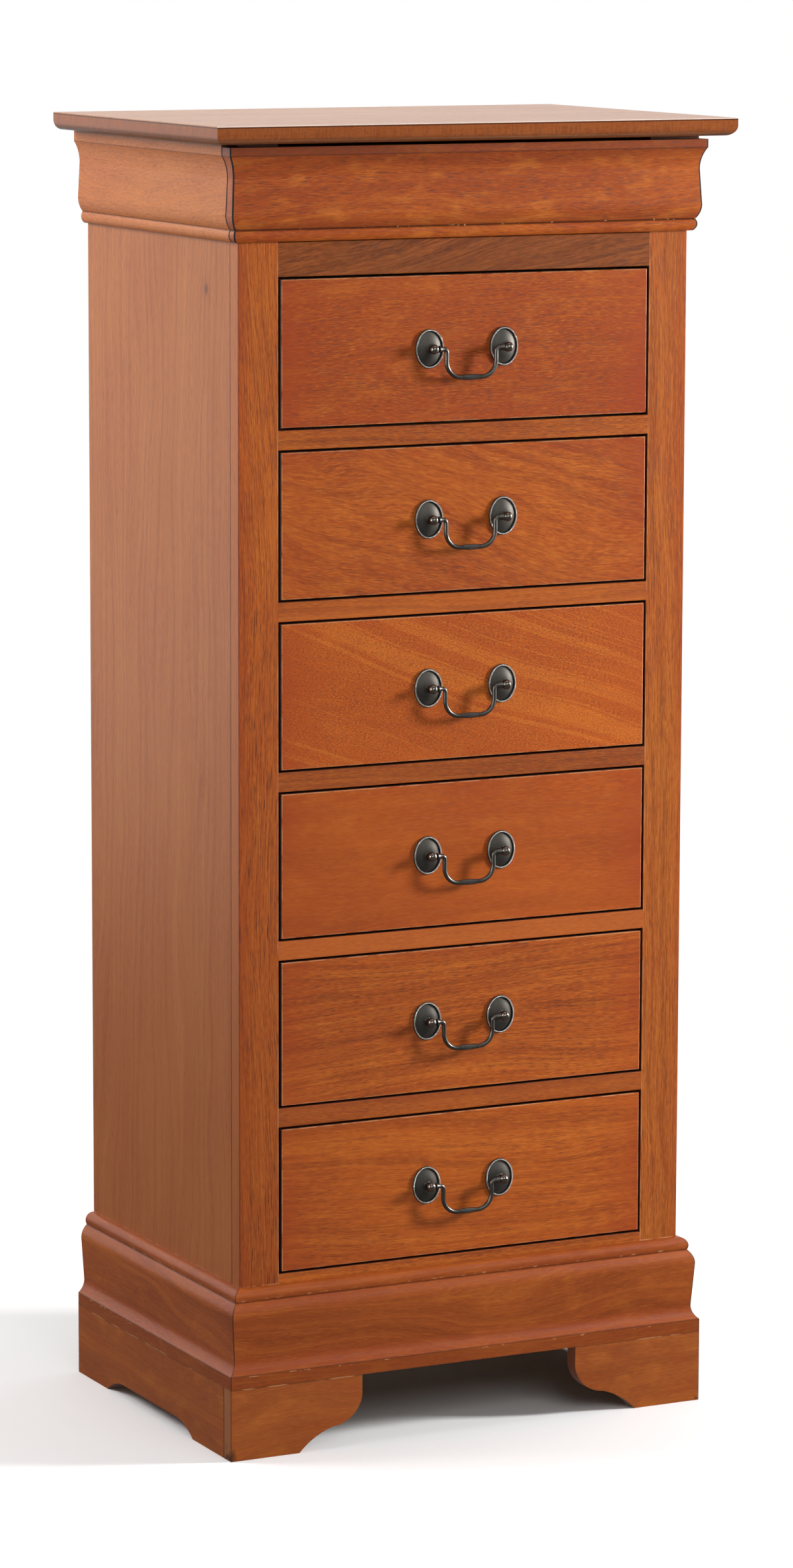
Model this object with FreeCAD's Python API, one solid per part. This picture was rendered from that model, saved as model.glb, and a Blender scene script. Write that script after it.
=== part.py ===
import FreeCAD, Part
import math
import os

from FreeCAD import Vector

# Tall narrow chest of drawers in millimetres: +X is the viewer's right, the front faces -Y, +Z is up.
# Pieces are drawn with y = 0 on the front of the face frame and the floor at z = 0.
# Each finished piece is then moved so that the origin is the bottom centre of the whole chest.

# Case sizes
case_width = 487.0
case_depth = 356.5
side_thickness = 16.0
stile_width = 42.0
stile_thickness = 18.0
rail_depth = 45.0
back_panel_thickness = 4.0
back_rebate_width = 8.0
back_frame_thickness = 18.0
back_rail_height = 60.0
back_post_width = 60.0
seam_chamfer = 0.6
arris_radius = 0.8

# Heights, from the floor up
foot_height = 71.5
base_height = 96.5
base_reveal = 9.4
opening_height = 146.5
rail_height = 18.8
drawer_count = 6
frieze_height = 33.1
cornice_gap_below = 0.8
cornice_height = 89.7
cornice_gap_above = 3.5
top_thickness = 17.5

# Top panel
top_side_overhang = 36.8
top_front_overhang = 34.3
top_edge_radius = 10.0
cleat_size = 20.0
cleat_start = 60.0
cleat_end_gap = 36.0

# Joints of the face frame
tenon_length = 10.0
tenon_thickness = 8.0
tenon_shoulder = 3.0
mortise_end_gap = 0.2
tongue_thickness = 6.0
tongue_length = 6.0

# Cornice profile: reach is measured out from the case, heights along the profile
cornice_reach = 14.6
cornice_fillet = 8.0
cornice_cove_height = 21.0
cornice_neck_reach = 8.7
cornice_belly_reach = 10.7
cornice_belly_height = 25.5
cornice_quirk_reach = 5.8
cornice_bead_height = 11.5
cornice_bead_reach = 7.4
cornice_bead_foot_reach = 4.0

# Base moulding profile
base_reach = 18.0
base_fillet = 12.9
base_cove_height = 13.6
base_neck_reach = 11.4
base_belly_reach = 14.4
base_belly_drop = 26.0
base_quirk_reach = 8.2
base_bead_height = 12.5
base_bead_reach = 9.2
base_bead_top_reach = 2.0

# Feet
foot_thickness = 16.5
foot_width = 142.5
foot_toe = 74.0
ogee_turn_from_end = 31.0
ogee_turn_height = 22.6
ogee_hollow = 3.1
ogee_swell = 7.2
ogee_top_height = 50.0
apron_height = 13.3
apron_curve = 40.0
rear_foot_top = 96.5
corner_block_size = 45.0
corner_block_lift = 10.0

# Drawers
drawer_front_thickness = 18.0
front_side_gap = 2.5
front_top_gap = 2.5
front_bottom_gap = 2.5
box_side_gap = 8.5
box_board = 12.0
box_height = 115.0
tail_count = 3
tail_width = 20.0
tail_flare = 2.5
tail_length = 10.0
bottom_thickness = 4.0
bottom_raise = 12.0
groove_depth = 6.0
back_tongue_mouth = 8.0
back_tongue_root = 11.0
back_drop = 6.0
box_back_inset = 10.0
box_end_gap = 4.5

# Cornice drawer, hidden behind the moulded front
cover_gap = 0.8
return_length = 3.5
return_clearance = 0.6
side_moulding_gap = 0.6
inner_front_thickness = 15.0
inner_front_rise = 6.0
cornice_box_height = 70.0
cornice_tail_count = 2
cover_screw_bite = 5.0
cover_screw_spread = 150.0
cover_screw_heights = (26.0, 52.0)

# Centre runners, their rear sockets and the glide buttons
runner_front_gap = 4.0
runner_stem_width = 18.0
runner_stem_height = 5.5
runner_cap_width = 30.0
runner_cap_height = 5.0
guide_thickness = 6.0
guide_width = 44.0
guide_height = 56.0
guide_clearance = 0.5
guide_lip = 1.8
socket_depth = 12.0
socket_width = 50.0
socket_below = 12.0
socket_above = 6.0
socket_wall = 3.0
socket_clearance = 0.2
button_radius = 8.0
button_clearance = 0.3
button_edge = 0.6

# Wood screws
screw_radius = 1.75
screw_head_radius = 3.6
screw_head_height = 2.2
screw_bite = 11.0
screw_clearance = 0.1
socket_screw_spread = 38.0
socket_screw_drop = 6.0
top_screw_inset = 40.0

# Pulls: oval rosettes, turned posts and swinging bails
post_spacing = 80.8
rosette_width = 30.3
rosette_height = 38.0
rosette_edge = 0.8
rim_height = 2.6
rim_width = 2.8
rim_groove_height = 1.0
rim_groove_width = 0.8
dome_height = 3.2
dome_swell = 0.5
post_seat_radius = 4.6
post_flange_radius = 4.2
post_flange_height = 1.2
post_neck_radius = 2.4
post_neck_rise = 2.4
ball_radius = 4.2
pivot_reach = 11.0
pull_screw_radius = 2.0
pull_screw_clearance = 0.05
pull_hole_clearance = 0.25
pivot_wall = 1.05
pull_screw_head_radius = 4.0
pull_screw_head_height = 2.8
pin_radius = 1.25
pin_length = 3.6
pin_clearance = 0.05
pin_end_gap = 0.4
bail_end_gap = 0.3
bail_shoulder = 9.1
bail_drop = 27.8
bail_radius = 2.3
bail_eye_radius = 3.4
bail_elbow_radius = 3.4
bail_corner_radius = 15.5
bail_grip_radius = 2.85

# Levels and planes worked out from the sizes above
half_case = case_width / 2
half_opening = half_case - stile_width
inner_half = half_case - side_thickness
base_top = foot_height + base_height
first_floor = base_top + base_reveal
pitch = opening_height + rail_height
frieze_bottom = first_floor + drawer_count * pitch - rail_height
frieze_top = frieze_bottom + frieze_height
cornice_bottom = frieze_top + cornice_gap_below
case_top = cornice_bottom + cornice_height + cornice_gap_above
back_panel_front = case_depth - back_panel_thickness
back_frame_front = back_panel_front - back_frame_thickness
socket_front = back_frame_front - socket_depth
box_end = socket_front - box_end_gap
box_back_rear = box_end - box_back_inset
box_back_front = box_back_rear - box_board
half_box = half_opening - box_side_gap
half_box_inside = half_box - box_board
half_front = half_opening - front_side_gap
half_base = half_case + base_reach
foot_back = foot_thickness - base_reach
half_foot_inside = half_base - foot_thickness
runner_height = runner_stem_height + runner_cap_height
runner_start = drawer_front_thickness + runner_front_gap
runner_end = back_frame_front - socket_wall - socket_clearance
runner_screw_y = (runner_start + rail_depth) / 2
button_y = (drawer_front_thickness + rail_depth) / 2
post_x = post_spacing / 2
pull_screw_top = pivot_reach - pin_radius - pin_clearance - pivot_wall - pull_screw_clearance
pull_screw_depth = pull_screw_top - dome_height
bail_leg_spacing = post_spacing - 2 * (ball_radius + bail_end_gap + bail_shoulder)
origin_shift = Vector(0, (top_front_overhang - case_depth) / 2, 0)

drawer_floors = [first_floor + (drawer_count - number) * pitch for number in range(1, drawer_count + 1)]
runner_floors = drawer_floors + [frieze_top]

saved_box = FreeCAD.BoundBox()


# Helpers for blocks, outlines and edges
def block(x_range, y_range, z_range):
    corner = Vector(x_range[0], y_range[0], z_range[0])
    size = Vector(x_range[1], y_range[1], z_range[1]) - corner
    return Part.makeBox(size.x, size.y, size.z, corner)


def outline_face(points, place):
    # A point is a straight step, and a pair of points is an arc through the first to the second.
    start = place(points[0])
    here = start
    edges = []
    for step in points[1:]:
        if isinstance(step, tuple):
            end = place(step[1])
            edges.append(Part.Arc(here, place(step[0]), end).toShape())
        else:
            end = place(step)
            edges.append(Part.makeLine(here, end))
        here = end
    edges.append(Part.makeLine(here, start))
    return Part.Face(Part.Wire(edges))


def upright_middle(far, crest):
    # Middle of the arc from far that stands upright where it meets crest.
    across = far.x - crest.x
    along = far.y - crest.y
    radius = (across ** 2 + along ** 2) / (2 * abs(across))
    half_turn = math.asin(abs(along) / radius) / 2
    shift = Vector(math.copysign(radius * (1 - math.cos(half_turn)), across),
                   math.copysign(radius * math.sin(half_turn), along))
    return crest + shift


def bulge_middle(start, end, bulge):
    # Middle of the arc whose crown lies a given distance to the right of the chord.
    chord = end - start
    side = Vector(chord.y, -chord.x).normalize()
    return (start + end) * 0.5 + side * bulge


def quarter_middle(centre, radius, turn):
    angle = math.radians(turn)
    return centre + Vector(radius * math.cos(angle), radius * math.sin(angle))


def edges_on(shape, **planes):
    # Edges whose two ends lie on every named plane, such as x=0 and z=10.
    found = []
    for edge in shape.Edges:
        ends = [vertex.Point for vertex in edge.Vertexes]
        if all(abs(getattr(end, axis) - value) < 1e-6 for end in ends for axis, value in planes.items()):
            found.append(edge)
    return found


def mirrored(shape):
    return shape.mirror(Vector(0, 0, 0), Vector(1, 0, 0))


def save(name, *pieces):
    solids = []
    for piece in pieces:
        solids += piece.translated(origin_shift).Solids
    for solid in solids:
        if not solid.isValid() or solid.Volume <= 0:
            raise ValueError("bad solid in " + name)
        saved_box.add(solid.BoundBox)
    node = solids[0] if len(solids) == 1 else Part.makeCompound(solids)
    node.exportStep("parts/" + name + ".step")
    print(name, len(solids), "solids", round(node.Volume / 1000, 1), "cm3")


# Wood screws along +Z, with the head's seat at the origin
def round_head_screw(length, clearance=0.0):
    shank = Part.makeCylinder(screw_radius + clearance, length)
    head = Part.makeCylinder(screw_head_radius + clearance, screw_head_height,
                             Vector(0, 0, -screw_head_height))
    return shank.fuse(head).removeSplitter()


def flush_head_screw(length, clearance=0.0):
    shank = Part.makeCylinder(screw_radius + clearance, length)
    head = Part.makeCone(screw_head_radius + clearance, screw_radius + clearance, screw_head_height)
    return shank.fuse(head).removeSplitter()


def turned(shape, axis, angle, place):
    copy = shape.copy()
    copy.rotate(Vector(0, 0, 0), axis, angle)
    copy.translate(place)
    return copy


def backward(shape, place):
    # Turns +Z to +Y.
    return turned(shape, Vector(1, 0, 0), -90, place)


def forward(shape, place):
    # Turns +Z to -Y.
    return turned(shape, Vector(1, 0, 0), 90, place)


def downward(shape, place):
    return turned(shape, Vector(1, 0, 0), 180, place)


# Moulding profiles: x is the reach out from the case and y the height
def cornice_profile(height, back):
    bead_top = Vector(cornice_quirk_reach, cornice_bead_height)
    belly = Vector(cornice_belly_reach, cornice_belly_height)
    fillet_foot = Vector(cornice_reach, cornice_height - cornice_fillet)
    neck = Vector(cornice_neck_reach, fillet_foot.y - cornice_cove_height)
    return [
        Vector(back, 0),
        Vector(cornice_bead_foot_reach, 0),
        (Vector(cornice_bead_reach, cornice_bead_height / 2), bead_top),
        (upright_middle(bead_top, belly), belly),
        neck,
        (upright_middle(fillet_foot, neck), fillet_foot),
        Vector(cornice_reach, height),
        Vector(back, height),
    ]


def base_profile():
    fillet_top = Vector(base_reach, base_fillet)
    neck = Vector(base_neck_reach, base_fillet + base_cove_height)
    belly = Vector(base_belly_reach, base_height - base_belly_drop)
    bead_foot = Vector(base_quirk_reach, base_height - base_bead_height)
    bead_middle = Vector(base_bead_reach, base_height - base_bead_height / 2)
    return [
        Vector(0, 0),
        Vector(base_reach, 0),
        fillet_top,
        (upright_middle(fillet_top, neck), neck),
        belly,
        (upright_middle(bead_foot, belly), bead_foot),
        (bead_middle, Vector(base_bead_top_reach, base_height)),
        Vector(0, base_height),
    ]


def top_profile(reach, back):
    lower = Vector(reach - top_edge_radius, top_edge_radius)
    upper = Vector(reach - arris_radius, top_thickness - arris_radius)
    return [
        Vector(back, 0),
        Vector(lower.x, 0),
        (quarter_middle(lower, top_edge_radius, -45), Vector(reach, lower.y)),
        Vector(reach, upper.y),
        (quarter_middle(upper, arris_radius, 45), Vector(upper.x, top_thickness)),
        Vector(back, top_thickness),
    ]


def returned_block(front_points, side_points, bottom, y_start, y_end):
    # A front profile that returns along both ends: two crossing extrusions, one half mirrored.
    end_reach = max(point.x for point in side_points if isinstance(point, Vector))
    front = outline_face(front_points, lambda point: Vector(0, -point.x, bottom + point.y))
    side = outline_face(side_points, lambda point: Vector(half_case + point.x, y_start, bottom + point.y))
    run = front.extrude(Vector(half_case + end_reach, 0, 0))
    half = run.common(side.extrude(Vector(0, y_end - y_start, 0)))
    return half.fuse(mirrored(half)).removeSplitter()


# Case: top, sides, face frame and back
def top_panel():
    panel = returned_block(top_profile(top_front_overhang, -case_depth),
                           top_profile(top_side_overhang, -half_case),
                           case_top, -top_front_overhang, case_depth)
    for screw in top_screws(screw_clearance):
        panel = panel.cut(screw)
    return panel


def right_stile():
    stile = block((half_opening, half_case), (0, stile_thickness), (foot_height, case_top))
    stile = stile.makeFillet(arris_radius, edges_on(stile, x=half_case, y=0))
    stile = stile.makeChamfer(seam_chamfer, edges_on(stile, x=half_case, y=stile_thickness))
    stile = stile.cut(side_tongue())
    for floor in drawer_floors:
        stile = stile.cut(tenon(floor - rail_height, floor, mortise_end_gap))
    return stile.cut(tenon(frieze_bottom, frieze_top, mortise_end_gap))


def side_tongue():
    middle = half_case - side_thickness / 2
    return block((middle - tongue_thickness / 2, middle + tongue_thickness / 2),
                 (stile_thickness - tongue_length, stile_thickness), (foot_height, case_top))


def right_side_panel():
    panel = block((inner_half, half_case), (stile_thickness, case_depth), (foot_height, case_top))
    panel = panel.makeChamfer(seam_chamfer, edges_on(panel, x=half_case, y=stile_thickness))
    rebate = block((inner_half, inner_half + back_rebate_width), (back_panel_front, case_depth),
                   (foot_height, case_top))
    return panel.cut(rebate).fuse(side_tongue()).removeSplitter()


def tenon(bottom, top, extra_length=0.0):
    y_start = (stile_thickness - tenon_thickness) / 2
    return block((half_opening, half_opening + tenon_length + extra_length),
                 (y_start, y_start + tenon_thickness),
                 (bottom + tenon_shoulder, top - tenon_shoulder))


def rail(bottom, top):
    body = block((-half_opening, half_opening), (0, rail_depth), (bottom, top))
    body = body.makeFillet(arris_radius, edges_on(body, y=0, z=bottom) + edges_on(body, y=0, z=top))
    end = tenon(bottom, top)
    body = body.fuse([end, mirrored(end)]).removeSplitter()
    return body.cut(runner_screw(top, screw_clearance))


def back_panel():
    half_width = inner_half + back_rebate_width
    return block((-half_width, half_width), (back_panel_front, case_depth), (foot_height, case_top))


def back_rail(bottom):
    return block((-inner_half, inner_half), (back_frame_front, back_panel_front),
                 (bottom, bottom + back_rail_height))


def back_post():
    post = block((-back_post_width / 2, back_post_width / 2), (back_frame_front, back_panel_front),
                 (foot_height + back_rail_height, case_top - back_rail_height))
    for floor in runner_floors:
        for screw in socket_screws(floor, screw_clearance):
            post = post.cut(screw)
    return post


def right_cleat():
    cleat = block((inner_half - cleat_size, inner_half), (cleat_start, back_frame_front - cleat_end_gap),
                  (case_top - cleat_size, case_top))
    for screw in top_screws(screw_clearance):
        cleat = cleat.cut(screw)
    return cleat


def top_screws(clearance=0.0):
    screws = []
    for y in (cleat_start + top_screw_inset, back_frame_front - cleat_end_gap - top_screw_inset):
        for x in (inner_half - cleat_size / 2, cleat_size / 2 - inner_half):
            screw = round_head_screw(cleat_size + screw_bite + clearance, clearance)
            screws.append(screw.translated(Vector(x, y, case_top - cleat_size)))
    return screws


# Applied mouldings
def right_cornice_moulding():
    face = outline_face(cornice_profile(cornice_height + cornice_gap_above, 0),
                        lambda point: Vector(half_case + point.x, return_length + side_moulding_gap,
                                             cornice_bottom + point.y))
    return face.extrude(Vector(0, case_depth - return_length - side_moulding_gap, 0))


def front_base_moulding():
    face = outline_face(base_profile(), lambda point: Vector(-half_base, -point.x, foot_height + point.y))
    run = face.extrude(Vector(2 * half_base, 0, 0))
    mitred = [Vector(-half_case, 0), Vector(-half_base, -base_reach),
              Vector(half_base, -base_reach), Vector(half_case, 0)]
    return run.common(plan_prism(mitred, foot_height, base_top))


def right_base_moulding():
    face = outline_face(base_profile(),
                        lambda point: Vector(half_case + point.x, -base_reach, foot_height + point.y))
    run = face.extrude(Vector(0, case_depth + base_reach, 0))
    mitred = [Vector(half_case, 0), Vector(half_base, -base_reach),
              Vector(half_base, case_depth), Vector(half_case, case_depth)]
    return run.common(plan_prism(mitred, foot_height, base_top))


def plan_prism(points, bottom, top):
    face = outline_face(points, lambda point: Vector(point.x, point.y, bottom))
    return face.extrude(Vector(0, 0, top - bottom))


# Feet
def right_front_foot():
    end_x = half_base - foot_width
    toe = Vector(half_base - foot_toe, 0)
    turn = Vector(end_x + ogee_turn_from_end, ogee_turn_height)
    ogee_top = Vector(end_x, ogee_top_height)
    points = [
        Vector(half_base, 0),
        toe,
        (bulge_middle(toe, turn, ogee_hollow), turn),
        (bulge_middle(turn, ogee_top, -ogee_swell), ogee_top),
        Vector(end_x, foot_height),
        Vector(half_base, foot_height),
    ]
    face = outline_face(points, lambda point: Vector(point.x, -base_reach, point.y))
    return face.extrude(Vector(0, foot_thickness, 0))


def right_base_board():
    front_toe = Vector(foot_back + foot_toe, 0)
    rear_toe = Vector(case_depth - foot_toe, 0)
    front_crest = Vector(front_toe.x + apron_curve, apron_height)
    rear_crest = Vector(rear_toe.x - apron_curve, apron_height)
    points = [
        Vector(foot_back, 0),
        front_toe,
        (apron_middle(front_toe, front_crest), front_crest),
        rear_crest,
        (apron_middle(rear_toe, rear_crest), rear_toe),
        Vector(case_depth, 0),
        Vector(case_depth, foot_height),
        Vector(foot_back, foot_height),
    ]
    face = outline_face(points, lambda point: Vector(half_foot_inside, point.x, point.y))
    return face.extrude(Vector(foot_thickness, 0, 0))


def apron_middle(toe, crest):
    # The apron's curve lies level at its crest: the upright arc with its two axes swapped.
    swapped = upright_middle(Vector(toe.y, toe.x), Vector(crest.y, crest.x))
    return Vector(swapped.y, swapped.x)


def right_rear_foot():
    points = [
        Vector(half_foot_inside, 0),
        Vector(half_base - foot_toe, 0),
        Vector(half_base - rear_foot_top, foot_height),
        Vector(half_foot_inside, foot_height),
    ]
    face = outline_face(points, lambda point: Vector(point.x, case_depth, point.y))
    return face.extrude(Vector(0, -foot_thickness, 0))


def corner_block(corner_y, direction):
    points = [
        Vector(half_foot_inside, corner_y),
        Vector(half_foot_inside - corner_block_size, corner_y),
        Vector(half_foot_inside, corner_y + direction * corner_block_size),
    ]
    return plan_prism(points, corner_block_lift, foot_height)


# Centre runners and what holds them
def tee_section(y_range, floor, clearance):
    half_stem = runner_stem_width / 2 + clearance
    half_cap = runner_cap_width / 2 + clearance
    stem = block((-half_stem, half_stem), y_range, (floor - clearance, floor + runner_stem_height))
    cap = block((-half_cap, half_cap), y_range,
                (floor + runner_stem_height - clearance, floor + runner_height + clearance))
    return stem.fuse(cap).removeSplitter()


def centre_runner(floor):
    runner = tee_section((runner_start, runner_end), floor, 0)
    return runner.cut(runner_screw(floor, screw_clearance))


def runner_screw(floor, clearance=0.0):
    screw = flush_head_screw(runner_height + screw_bite + clearance, clearance)
    return downward(screw, Vector(0, runner_screw_y, floor + runner_height))


def runner_socket(floor):
    body = block((-socket_width / 2, socket_width / 2), (socket_front, back_frame_front),
                 (floor - socket_below, floor + runner_height + socket_above))
    body = body.cut(tee_section((socket_front, back_frame_front - socket_wall), floor, socket_clearance))
    for screw in socket_screws(floor, screw_clearance):
        body = body.cut(screw)
    return body


def socket_screws(floor, clearance=0.0):
    screw = round_head_screw(socket_depth + screw_bite + clearance, clearance)
    return [backward(screw, Vector(side * socket_screw_spread / 2, socket_front, floor - socket_screw_drop))
            for side in (-1, 1)]


def glide_button(side, floor):
    height = front_bottom_gap - button_clearance
    place = Vector(side * (half_box - box_board / 2), button_y, floor)
    button = Part.makeCylinder(button_radius, height, place)
    rim = [edge for edge in button.Edges if edge.Closed and edge.CenterOfMass.z > floor + height / 2]
    return button.makeFillet(button_edge, rim)


# Drawer boxes: dovetailed sides, a sliding-dovetail back and a grooved bottom
def tails(front_back, bottom, height, count):
    prisms = []
    for index in range(count):
        middle = bottom + height * (index + 0.5) / count
        half = tail_width / 2
        points = [
            Vector(front_back, middle - half),
            Vector(front_back, middle + half),
            Vector(front_back - tail_length, middle + half + tail_flare),
            Vector(front_back - tail_length, middle - half - tail_flare),
        ]
        face = outline_face(points, lambda point: Vector(half_box_inside, point.x, point.y))
        prisms.append(face.extrude(Vector(box_board, 0, 0)))
    return prisms


def back_tongue(bottom, top):
    middle = (box_back_front + box_back_rear) / 2
    points = [
        Vector(half_box_inside, middle - back_tongue_mouth / 2),
        Vector(half_box_inside + groove_depth, middle - back_tongue_root / 2),
        Vector(half_box_inside + groove_depth, middle + back_tongue_root / 2),
        Vector(half_box_inside, middle + back_tongue_mouth / 2),
    ]
    return plan_prism(points, bottom, top)


def drawer_bottom(front_back, box_bottom):
    half_width = half_box_inside + groove_depth
    lower = box_bottom + bottom_raise
    return block((-half_width, half_width), (front_back - groove_depth, box_back_rear),
                 (lower, lower + bottom_thickness))


def right_drawer_side(front_back, box_bottom, height, count):
    top = box_bottom + height
    side = block((half_box_inside, half_box), (front_back, box_end), (box_bottom, top))
    side = side.makeFillet(arris_radius,
                           edges_on(side, x=half_box, z=top) + edges_on(side, x=half_box_inside, z=top))
    side = side.fuse(tails(front_back, box_bottom, height, count)).removeSplitter()
    lower = box_bottom + bottom_raise
    groove = block((half_box_inside, half_box_inside + groove_depth), (0, box_end),
                   (lower, lower + bottom_thickness))
    housing = back_tongue(lower + bottom_thickness, top)
    return side.cut([groove, housing])


def drawer_back(box_bottom, height):
    bottom = box_bottom + bottom_raise + bottom_thickness
    top = box_bottom + height - back_drop
    body = block((-half_box_inside, half_box_inside), (box_back_front, box_back_rear), (bottom, top))
    tongue = back_tongue(bottom, top)
    return body.fuse([tongue, mirrored(tongue)]).removeSplitter()


def drawer_guide(floor):
    lip_bottom = floor + runner_stem_height - guide_clearance - guide_lip
    y_range = (box_back_rear, box_back_rear + guide_thickness)
    body = block((-guide_width / 2, guide_width / 2), y_range, (lip_bottom, lip_bottom + guide_height))
    return body.cut(tee_section(y_range, floor, guide_clearance))


def joined_front(board, front_back, box_bottom, height, count):
    # Cuts the dovetail sockets and the groove for the bottom into a drawer's front board.
    right_tails = tails(front_back, box_bottom, height, count)
    left_tails = [mirrored(tail) for tail in right_tails]
    return board.cut(right_tails + left_tails + [drawer_bottom(front_back, box_bottom)])


def box_pieces(front_back, floor, height, count):
    box_bottom = floor + front_bottom_gap
    side = right_drawer_side(front_back, box_bottom, height, count)
    return [mirrored(side), side, drawer_back(box_bottom, height), drawer_guide(floor)]


def drawer_front(floor):
    z_range = (floor + front_bottom_gap, floor + opening_height - front_top_gap)
    board = block((-half_front, half_front), (0, drawer_front_thickness), z_range)
    board = board.makeFillet(arris_radius, edges_on(board, y=0))
    board = joined_front(board, drawer_front_thickness, z_range[0], box_height, tail_count)
    for x in (-post_x, post_x):
        hole = Part.makeCylinder(pull_screw_radius + pull_hole_clearance, drawer_front_thickness)
        board = board.cut(backward(hole, Vector(x, 0, pull_level(floor))))
    return board


# Cornice drawer
def cornice_drawer_front():
    front = returned_block(cornice_profile(cornice_height, -return_length),
                           cornice_profile(cornice_height, -half_case),
                           cornice_bottom, -cornice_reach, return_length)
    half_clear = half_case + return_clearance
    front = front.cut(block((-half_clear, half_clear), (-cover_gap, return_length),
                            (cornice_bottom, cornice_bottom + cornice_height)))
    for screw in cover_screws(screw_clearance):
        front = front.cut(screw)
    return front


def cornice_inner_front():
    box_bottom = frieze_top + front_bottom_gap
    front_back = inner_front_thickness - cover_gap
    board = block((-half_front, half_front), (-cover_gap, front_back),
                  (box_bottom, box_bottom + cornice_box_height + inner_front_rise))
    board = joined_front(board, front_back, box_bottom, cornice_box_height, cornice_tail_count)
    for screw in cover_screws(screw_clearance):
        board = board.cut(screw)
    return board


def cover_screws(clearance=0.0):
    screws = []
    for x in (-cover_screw_spread, cover_screw_spread):
        for height in cover_screw_heights:
            screw = round_head_screw(inner_front_thickness + cover_screw_bite + clearance, clearance)
            place = Vector(x, inner_front_thickness - cover_gap, cornice_bottom + height)
            screws.append(forward(screw, place))
    return screws


# Pulls: drawn with the drawer's face at z = 0 and the pull standing up along +Z, then turned to face -Y
def pull_level(floor):
    return floor + (opening_height + front_bottom_gap - front_top_gap) / 2


def rosette():
    outer = rosette_height / 2
    rim_inner = outer - rim_width
    groove_inner = rim_inner - rim_groove_width
    dome_foot = Vector(groove_inner, rim_groove_height)
    dome_top = Vector(post_seat_radius, dome_height)
    points = [
        Vector(0, 0),
        Vector(outer, 0),
        Vector(outer, rosette_edge),
        (Vector(outer - rim_width / 2, rim_height), Vector(rim_inner, rim_groove_height)),
        dome_foot,
        (bulge_middle(dome_foot, dome_top, dome_swell), dome_top),
        Vector(0, dome_height),
    ]
    disc = outline_face(points, lambda point: Vector(point.x, 0, point.y)).revolve(
        Vector(0, 0, 0), Vector(0, 0, 1), 360)
    oval = FreeCAD.Matrix()
    oval.scale(rosette_width / rosette_height, 1, 1)
    hole = Part.makeCylinder(pull_screw_radius + pull_hole_clearance, dome_height)
    return disc.transformGeometry(oval).cut(hole)


def post(side):
    ball_foot = pivot_reach - math.sqrt(ball_radius ** 2 - post_neck_radius ** 2)
    flange_top = dome_height + post_flange_height
    points = [
        Vector(0, dome_height),
        Vector(post_flange_radius, dome_height),
        Vector(post_flange_radius, flange_top),
        Vector(post_neck_radius, dome_height + post_neck_rise),
        Vector(post_neck_radius, ball_foot),
        (Vector(ball_radius, pivot_reach), Vector(0, pivot_reach + ball_radius)),
    ]
    body = outline_face(points, lambda point: Vector(point.x, 0, point.y)).revolve(
        Vector(0, 0, 0), Vector(0, 0, 1), 360)
    thread = Part.makeCylinder(pull_screw_radius + pull_screw_clearance,
                               pull_screw_depth + pull_screw_clearance, Vector(0, 0, dome_height))
    pivot_depth = pin_length - bail_end_gap + pin_end_gap
    pivot = Part.makeCylinder(pin_radius + pin_clearance, ball_radius,
                              Vector(-side * (ball_radius - pivot_depth), 0, pivot_reach),
                              Vector(-side, 0, 0))
    return body.cut([thread, pivot])


def pull_screw():
    shank = Part.makeCylinder(pull_screw_radius, drawer_front_thickness + pull_screw_top,
                              Vector(0, 0, -drawer_front_thickness))
    head = Part.makeCylinder(pull_screw_head_radius, pull_screw_head_height,
                             Vector(0, 0, -drawer_front_thickness - pull_screw_head_height))
    return shank.fuse(head).removeSplitter()


def pull_fittings(floor):
    pieces = []
    for side in (-1, 1):
        place = Vector(side * post_x, 0, pull_level(floor))
        pieces += [forward(piece, place) for piece in (rosette(), post(side), pull_screw())]
    return pieces


def bail():
    # Drawn in the XZ plane, hanging from a pivot axis along X through the origin.
    eye_end = post_x - ball_radius - bail_end_gap
    leg_x = bail_leg_spacing / 2
    elbow_start = Vector(leg_x + bail_elbow_radius, 0, 0)
    elbow_cut = bail_elbow_radius * (1 - math.sqrt(0.5))
    elbow_middle = Vector(leg_x + elbow_cut, 0, -elbow_cut)
    leg_top = Vector(leg_x, 0, -bail_elbow_radius)
    leg_foot = Vector(leg_x, 0, bail_corner_radius - bail_drop)
    corner_cut = bail_corner_radius * (1 - math.sqrt(0.5))
    corner_middle = Vector(leg_x - corner_cut, 0, corner_cut - bail_drop)
    corner_end = Vector(leg_x - bail_corner_radius, 0, -bail_drop)
    path = Part.Wire([
        Part.Arc(elbow_start, elbow_middle, leg_top).toShape(),
        Part.makeLine(leg_top, leg_foot),
        Part.Arc(leg_foot, corner_middle, corner_end).toShape(),
    ])
    section = Part.Wire(Part.makeCircle(bail_radius, elbow_start, Vector(1, 0, 0)))
    leg = path.makePipeShell([section], True, False)
    eye = Part.makeCone(bail_radius, bail_eye_radius, eye_end - elbow_start.x, elbow_start, Vector(1, 0, 0))
    pin = Part.makeCylinder(pin_radius, pin_length, Vector(eye_end, 0, 0), Vector(1, 0, 0))
    half = leg.fuse([eye, pin])
    return half.fuse([bail_grip(corner_end.x), mirrored(half)]).removeSplitter()


def bail_grip(half_length):
    # The bottom bar swells towards its middle.
    points = [
        Vector(-half_length, 0),
        Vector(-half_length, bail_radius),
        (Vector(0, bail_grip_radius), Vector(half_length, bail_radius)),
        Vector(half_length, 0),
    ]
    face = outline_face(points, lambda point: Vector(point.x, 0, point.y - bail_drop))
    return face.revolve(Vector(0, 0, -bail_drop), Vector(1, 0, 0), 360)


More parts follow.
